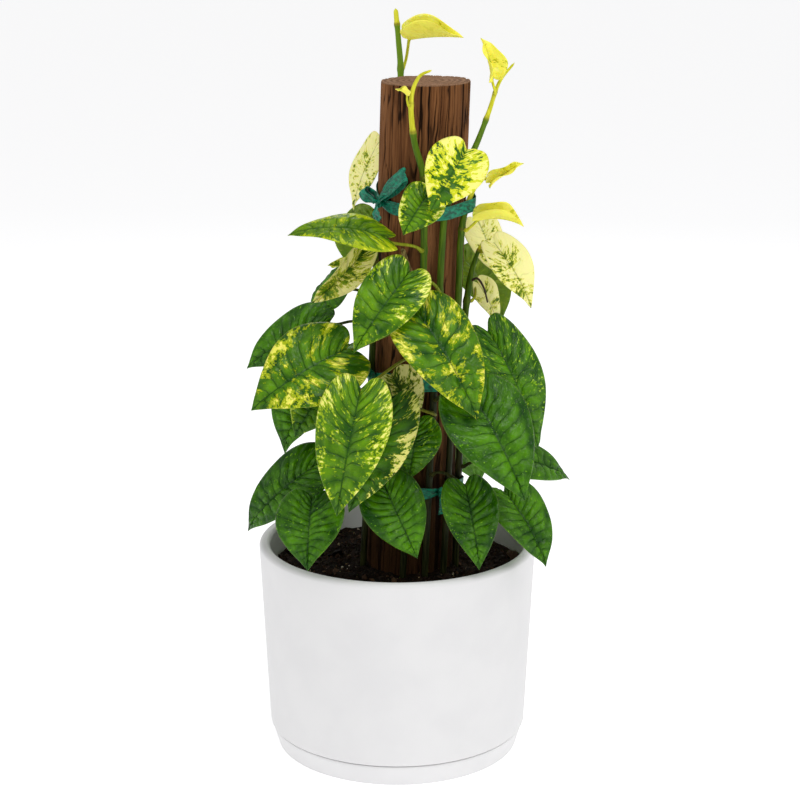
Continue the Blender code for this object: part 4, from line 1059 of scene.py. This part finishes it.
def leafage(kind):
    """The finish of one kind of leaf."""
    look = LEAFAGES[kind]
    made, shader, link = finish(f"{kind} leaf", IOR=1.42, Specular_IOR_Level=0.27, Subsurface_Weight=0.25,
                                Subsurface_Radius=(0.6, 1.0, 0.2), Subsurface_Scale=0.0012)
    lay = link.note("lay")
    vein, rib, under = link.note("vein").parts()
    station, swell, off = link.note("form").parts()
    away = rib.size()
    # how near each place is to losing its green
    streak = lay.grain((1 / look.fleck, 0.42 / look.fleck, 1), 3.0, 0.62)
    patch = lay.grain((0.20 / look.fleck, 0.11 / look.fleck, 1))
    speck = lay.grain((2.6 / look.fleck, 1.2 / look.fleck, 1), 2.0, 0.6)
    level = streak * (0.85 - look.blotch) + speck * 0.15 + patch * look.blotch
    level = level + away.between(0.55, 1.0) * look.edge - off.between(0.010, 0.002) * look.heart
    level = level - station.between(0.40, 1.0) * 0.03
    # green in random tone, with painted light where the blade swells and painted shade in its creases, then
    # the two steps of variegation
    cloud = lay.grain((90, 60, 1), 3.0)
    body = (swell * 0.38 + cloud * 1.25 - 0.33).between(0.0, 0.9).mix(look.deep, look.fresh)
    body = level.between(look.some - 0.012, look.some + 0.022).mix(body, look.bright)
    body = level.between(look.more - 0.008, look.more + 0.016).mix(body, look.pale)
    # the veins, darkened as painted shade in their creases, the hem of the margin and the underside
    side = (vein + (streak - 0.5) * 0.12).whole_away()
    side_line = side.between(0.075, 0.010) * away.between(0.92, 0.30) * look.lines
    rib_line = off.between(0.0011, 0.0003) * (0.35 + 0.5 * look.lines)
    # painted shade along the side veins and the midrib
    body = rib_line.at_least(side_line).mix(body, look.deep)
    fresh, bright, pale = (np.array(tone) for tone in (look.fresh, look.bright, look.pale))
    body = (away.between(0.965, 0.995) * 0.22).mix(body, (fresh + pale) / 2)
    body = (under * 0.8).mix(body, 0.60 * fresh + 0.42 * bright + 0.03)
    crinkle = lay.grain((330, 170, 1), 2.0, 0.45)
    fine = lay.grain((1400, 900, 1))
    wire(shader, Base_Color=body, Roughness=look.sheen + under * 0.2 + (cloud - 0.5) * 0.12,
         Normal=(crinkle * look.crinkle - side_line * 0.6 + fine * 0.08).bump(0.0014))
    return made


leaf_finishes = {kind: leafage(kind) for kind in LEAFAGES}
flesh = stem_flesh()
for seed, leaf in enumerate(LEAVES):
    relief = RELIEFS[leaf.colour]
    look = LOOKS.get(leaf.name, leaf.colour)
    parts = [(blade_skin(leaf, relief, seed + 3), leaf_finishes[look]), (stalk_skin(leaf, relief), flesh)]
    piece(leaf.name + "_blade", parts, [leaf.name])
for vine in VINES:
    piece(vine.name + "_stem", [(part, flesh) for part in vine_parts(vine)], [vine.name])
print(len(LEAVES), "leaves and", len(VINES), "stems")

# %% [markdown]
# ## The ties
#
# Plant tape is thin stretchy film.  Pulled tight round the post and the stems it takes the shape
# of a string round pegs, which is the convex hull of their sections.  Where it is knotted it
# gathers into folds, and its loops and tails stand off stiffly.  So the band is a strip along the
# hull whose width shrinks towards the knot, creased lengthwise by noise that grows there.

# %% Ties
TAPE_WIDTH, TAPE, KNOT, LOOP_OPENING = 0.0113, 0.00035, 0.0045, 0.0038
TIE_ROOM, TIE_EDGE = 0.0012, 0.6
STRIP, BAND_STEPS, LOOP_STEPS = 14, 320, 90        # points across the tape, round the post, round a loop
KNOT_TALL = 1.1                  # height of the knot over its radius


@dataclass
class Tie:
    """A band at a height on the post's axis that climbs by rise towards +X and +Y.  Its knot is
    at an angle, and from it go loops and tails, given by the places of their far ends."""
    name: str
    height: float
    rise: tuple
    knot: float
    loops: tuple = ()
    tails: tuple = ()


TIES = [
    Tie("tie_top", 0.3395, (0.06, 0.28), -152, ((-158, 0.016, 0.342), (-106, 0.016, 0.362)),
        ((-137, 0.011, 0.318),)),
    Tie("tie_middle", 0.182, (0.0, 0.10), -146, ((-152, 0.022, 0.192),)),
    Tie("tie_low", 0.078, (0.05, 0.0), -58, (), ((-58, 0.013, 0.060),)),
]


def hull_reach(centres, radii, turn):
    """Distance from the axis to the convex hull of circles, for an array of angles.  The hull is
    where every direction's farthest line is: the least over directions d of
    (max of c.d + r) / cos(angle between)."""
    facing = turns(1440)
    ways = np.stack([np.cos(facing), np.sin(facing)], -1)
    far = (centres @ ways.T + radii[:, None]).max(0)
    cos = np.cos(turn[:, None] - facing[None])
    return np.where(cos > 0.05, far[None] / np.maximum(cos, 0.05), np.inf).min(1)


def strip(path, outward, width, crease, seed, closed=False, upright=False):
    """A tape along a path with its folds: rings go over its outer face and back under.  An
    upright tape has its width along Z."""
    along = np.roll(path, -1, 0) - np.roll(path, 1, 0) if closed else np.gradient(path, axis=0)
    along = unit(along)
    face = unit(outward - along * (outward * along).sum(-1, keepdims=True))
    edge = np.broadcast_to((0.0, 0.0, 1.0), face.shape) if upright else np.cross(face, along)
    share = np.linspace(-0.5, 0.5, STRIP)[None]
    run = np.linspace(0, 1, len(path))[:, None]
    folds = noise(run * 7 + seed, share * 5 + 20, seed) + 0.5 * noise(run * 19, share * 9 + 40, seed + 1)
    lift = crease[:, None] * folds + 0.0004 * (2 * share) ** 2
    spread = path[:, None] + edge[:, None] * (share * width[:, None])[..., None]
    outer = spread + face[:, None] * (lift + TAPE / 2)[..., None]
    inner = spread + face[:, None] * (lift - TAPE / 2)[..., None]
    rings = np.concatenate([outer, inner[:, ::-1]], 1)
    ends = None if closed else lean((path[0], path[-1]))
    return skin(lean(rings), ends)


def knot_skin(centre, outward, seed):
    """The knot: a ball pulled out of round by folds."""
    turn = turns(28)[None]
    tilt = np.linspace(0.12, np.pi - 0.12, 16)[:, None]
    radius = KNOT * (0.92 + 0.20 * noise(turn / (2 * np.pi) * 7, tilt * 2.5, seed, 7))
    x, y = radius * np.sin(tilt) * np.cos(turn), radius * np.sin(tilt) * np.sin(turn)
    z = radius * np.cos(tilt) + 0 * turn
    side = unit(np.cross(outward, (0, 0, 1)))
    tall = np.array([0, 0, KNOT_TALL])
    points = centre + x[..., None] * side + y[..., None] * outward * 0.8 + z[..., None] * tall
    return skin(lean(points), lean((centre + KNOT * tall, centre - KNOT * tall)))


def tie_parts(tie, seed):
    """The band, the knot, and each loop and tail."""
    rise = np.array(tie.rise)
    centres, radii = [(0.0, 0.0)], [POST_RADIUS + TIE_ROOM]
    for route in ROUTES.values():
        level = tie.height + rise @ stem_at(route, tie.height)[:2]
        if route[-1, 2] > level:
            for edge in (-TIE_EDGE, TIE_EDGE):
                centres.append(stem_at(route, level + edge * TAPE_WIDTH)[:2])
                radii.append(VINE_RADIUS + TIE_ROOM)
    turn = math.radians(tie.knot) + turns(BAND_STEPS)
    reach = hull_reach(np.array(centres), np.array(radii), turn)
    x, y = reach * np.cos(turn), reach * np.sin(turn)
    line = np.stack([x, y, tie.height + rise[0] * x + rise[1] * y], -1)
    outward = np.stack([np.cos(turn), np.sin(turn), 0 * turn], -1)
    step = np.arange(BAND_STEPS)
    from_knot = np.minimum(step, BAND_STEPS - step) / BAND_STEPS
    gather = 1 - ease(from_knot, 0.0, 0.07)
    parts = [strip(line, outward, TAPE_WIDTH * (1 - 0.45 * gather), 0.00025 + 0.0010 * gather,
                   seed, True, True)]
    centre = line[0] + outward[0] * (0.6 * KNOT)
    parts.append(knot_skin(centre, outward[0], seed + 2))
    for index, place in enumerate(tie.loops):
        way = on_post(place) - centre
        opening = unit(outward[0] - way * (outward[0] @ way) / (way @ way))
        a = turns(LOOP_STEPS)
        out = (1 - np.cos(a)) / 2
        path = centre + out[:, None] * way + (LOOP_OPENING * np.sin(a) * out ** 0.4)[:, None] * opening
        faces = np.sin(a)[:, None] * opening - np.cos(a)[:, None] * unit(way)
        wide = 1.15 * TAPE_WIDTH * (0.40 + 0.60 * ease(out, 0.0, 0.6))
        parts.append(strip(path, faces, wide, 0.0013 + 0.0006 * (1 - out), seed + 5 + index, True))
    for index, place in enumerate(tie.tails):
        end = on_post(place)
        path = through([centre, (centre + end) / 2 + outward[0] * 0.003, end], 20)
        run = np.linspace(0, 1, len(path))
        wide = TAPE_WIDTH * (0.40 + 0.55 * ease(run, 0.0, 0.5))
        faces = np.repeat(outward[:1], len(path), 0)
        parts.append(strip(path, faces, wide, 0.0011 * (1 - 0.4 * run), seed + 9 + index))
    return parts


def film():
    """Teal stretch film: painted shade in its folds, with a soft shine."""
    made, shader, link = finish("teal film", IOR=1.46, Specular_IOR_Level=0.45)
    fold = link.place().grain((260, 260, 420), 3.0, 0.6)
    # painted shade: darker where the fold noise is low, in the folds
    wire(shader, Base_Color=fold.between(0.3, 0.7).mix((0.0, 0.060, 0.036), (0.002, 0.280, 0.155)),
         Roughness=0.28 + fold * 0.2, Normal=fold.bump(0.0009))
    return made


teal_film = film()
for index, tie in enumerate(TIES):
    parts = [(part, teal_film) for part in tie_parts(tie, 70 + 20 * index)]
    piece(tie.name + "_tape", parts, [tie.name])

# %% [markdown]
# ## The dry sheath
#
# The sheath that once wrapped a young leaf dries to a curled brown strip.  It is a strip along its
# route again, cupped across and drawn to a point.

# %% Dry sheath
SHEATH = [(-93, 0.007, 0.262), (-97, 0.011, 0.272), (-102, 0.014, 0.284), (-107, 0.013, 0.296),
          (-109, 0.009, 0.292)]
SHEATH_WIDTH = 0.0048


def sheath_skin():
    """Rings across the sheath, whose width is that of a half wave along it."""
    path = through(on_post(SHEATH), 12)
    run = np.linspace(0, 1, len(path))
    wide = SHEATH_WIDTH * (0.25 + 0.75 * np.sin(np.pi * np.clip(run * 0.96 + 0.04, 0, 1)) ** 0.7)
    outward = path * (1, 1, 0)
    return strip(path, outward, wide, 0.0007 + 0 * run, 91)


def dry_tissue():
    """Papery tan and brown with a trace of green."""
    made, shader, link = finish("dry tissue", IOR=1.4)
    streak = link.place().grain((700, 700, 120), 3.0)
    wire(shader, Base_Color=streak.between(0.35, 0.65).mix((0.13, 0.085, 0.022), (0.36, 0.27, 0.09)),
         Roughness=0.7 + streak * 0.2, Normal=streak.bump(0.0006))
    return made


piece("dry_sheath_strip", [(sheath_skin(), dry_tissue())], ["dry_sheath"])

# %% [markdown]
# ## Floor, light and camera
#
# The plant stands in a white studio: one pale floor that runs to the horizon, an even white sky,
# and large soft lamps above and to each side.  A long lens far off keeps the pot's sides nearly
# upright.

# %% Studio
WHITE = (1.0, 1.0, 1.0, 1.0)
FLOOR, FLOOR_GLOW, SKY = 40.0, 0.49, 0.52            # width in metres, and strengths
VIEW_AIM, VIEW_PITCH, VIEW_DISTANCE, VIEW_LENS = (0.0025, 0.0, 0.3225), 15.0, 1.874, 94.5
LAMPS = [                        # name, place, size in metres, power in watts
    ("lamp_top", (0.20, -0.55, 1.9), 0.8, 9.5),
    ("lamp_left", (-1.6, -1.4, 1.2), 0.9, 5.5),
    ("lamp_right", (1.7, -1.2, 1.3), 0.9, 8.0),
    ("lamp_rear", (0.2, 1.8, 1.5), 1.0, 5.0),
]


def studio():
    """The floor, the sky and the lamps, each lamp turned to the plant's middle."""
    pale = finish("pale floor", Base_Color=(0.86, 0.86, 0.87, 1.0), Roughness=0.9, Specular_IOR_Level=0.1,
                  Emission_Color=WHITE, Emission_Strength=FLOOR_GLOW)[0]
    mesh, half = bpy.data.meshes.new("floor"), FLOOR / 2
    corners = [(-half, -half, 0), (half, -half, 0), (half, half, 0), (-half, half, 0)]
    mesh.from_pydata(corners, [], [(0, 1, 2, 3)])
    mesh.materials.append(pale)
    placed("floor", mesh)
    world = bpy.data.worlds.new("studio sky")
    world.use_nodes = True
    sky = world.node_tree.nodes["Background"]
    sky.inputs["Color"].default_value, sky.inputs["Strength"].default_value = WHITE, SKY
    bpy.context.scene.world = world
    for name, place, size, power in LAMPS:
        data = bpy.data.lights.new(name, "AREA")
        data.size, data.energy = size, power
        lamp = placed(name, data)
        lamp.location = place
        lamp.rotation_euler = (Vector(VIEW_AIM) - Vector(place)).to_track_quat("-Z", "Y").to_euler()


def camera():
    """A long lens, pitched down at the plant from the front."""
    data = bpy.data.cameras.new("camera")
    data.lens, data.clip_end = VIEW_LENS, 100.0
    made, pitch = placed("camera", data), math.radians(VIEW_PITCH)
    made.location = (VIEW_AIM[0], VIEW_AIM[1] - VIEW_DISTANCE * math.cos(pitch),
                     VIEW_AIM[2] + VIEW_DISTANCE * math.sin(pitch))
    made.rotation_euler = (math.pi / 2 - pitch, 0, 0)
    bpy.context.scene.camera = made


studio()
camera()
bpy.context.scene.view_settings.view_transform = "Standard"
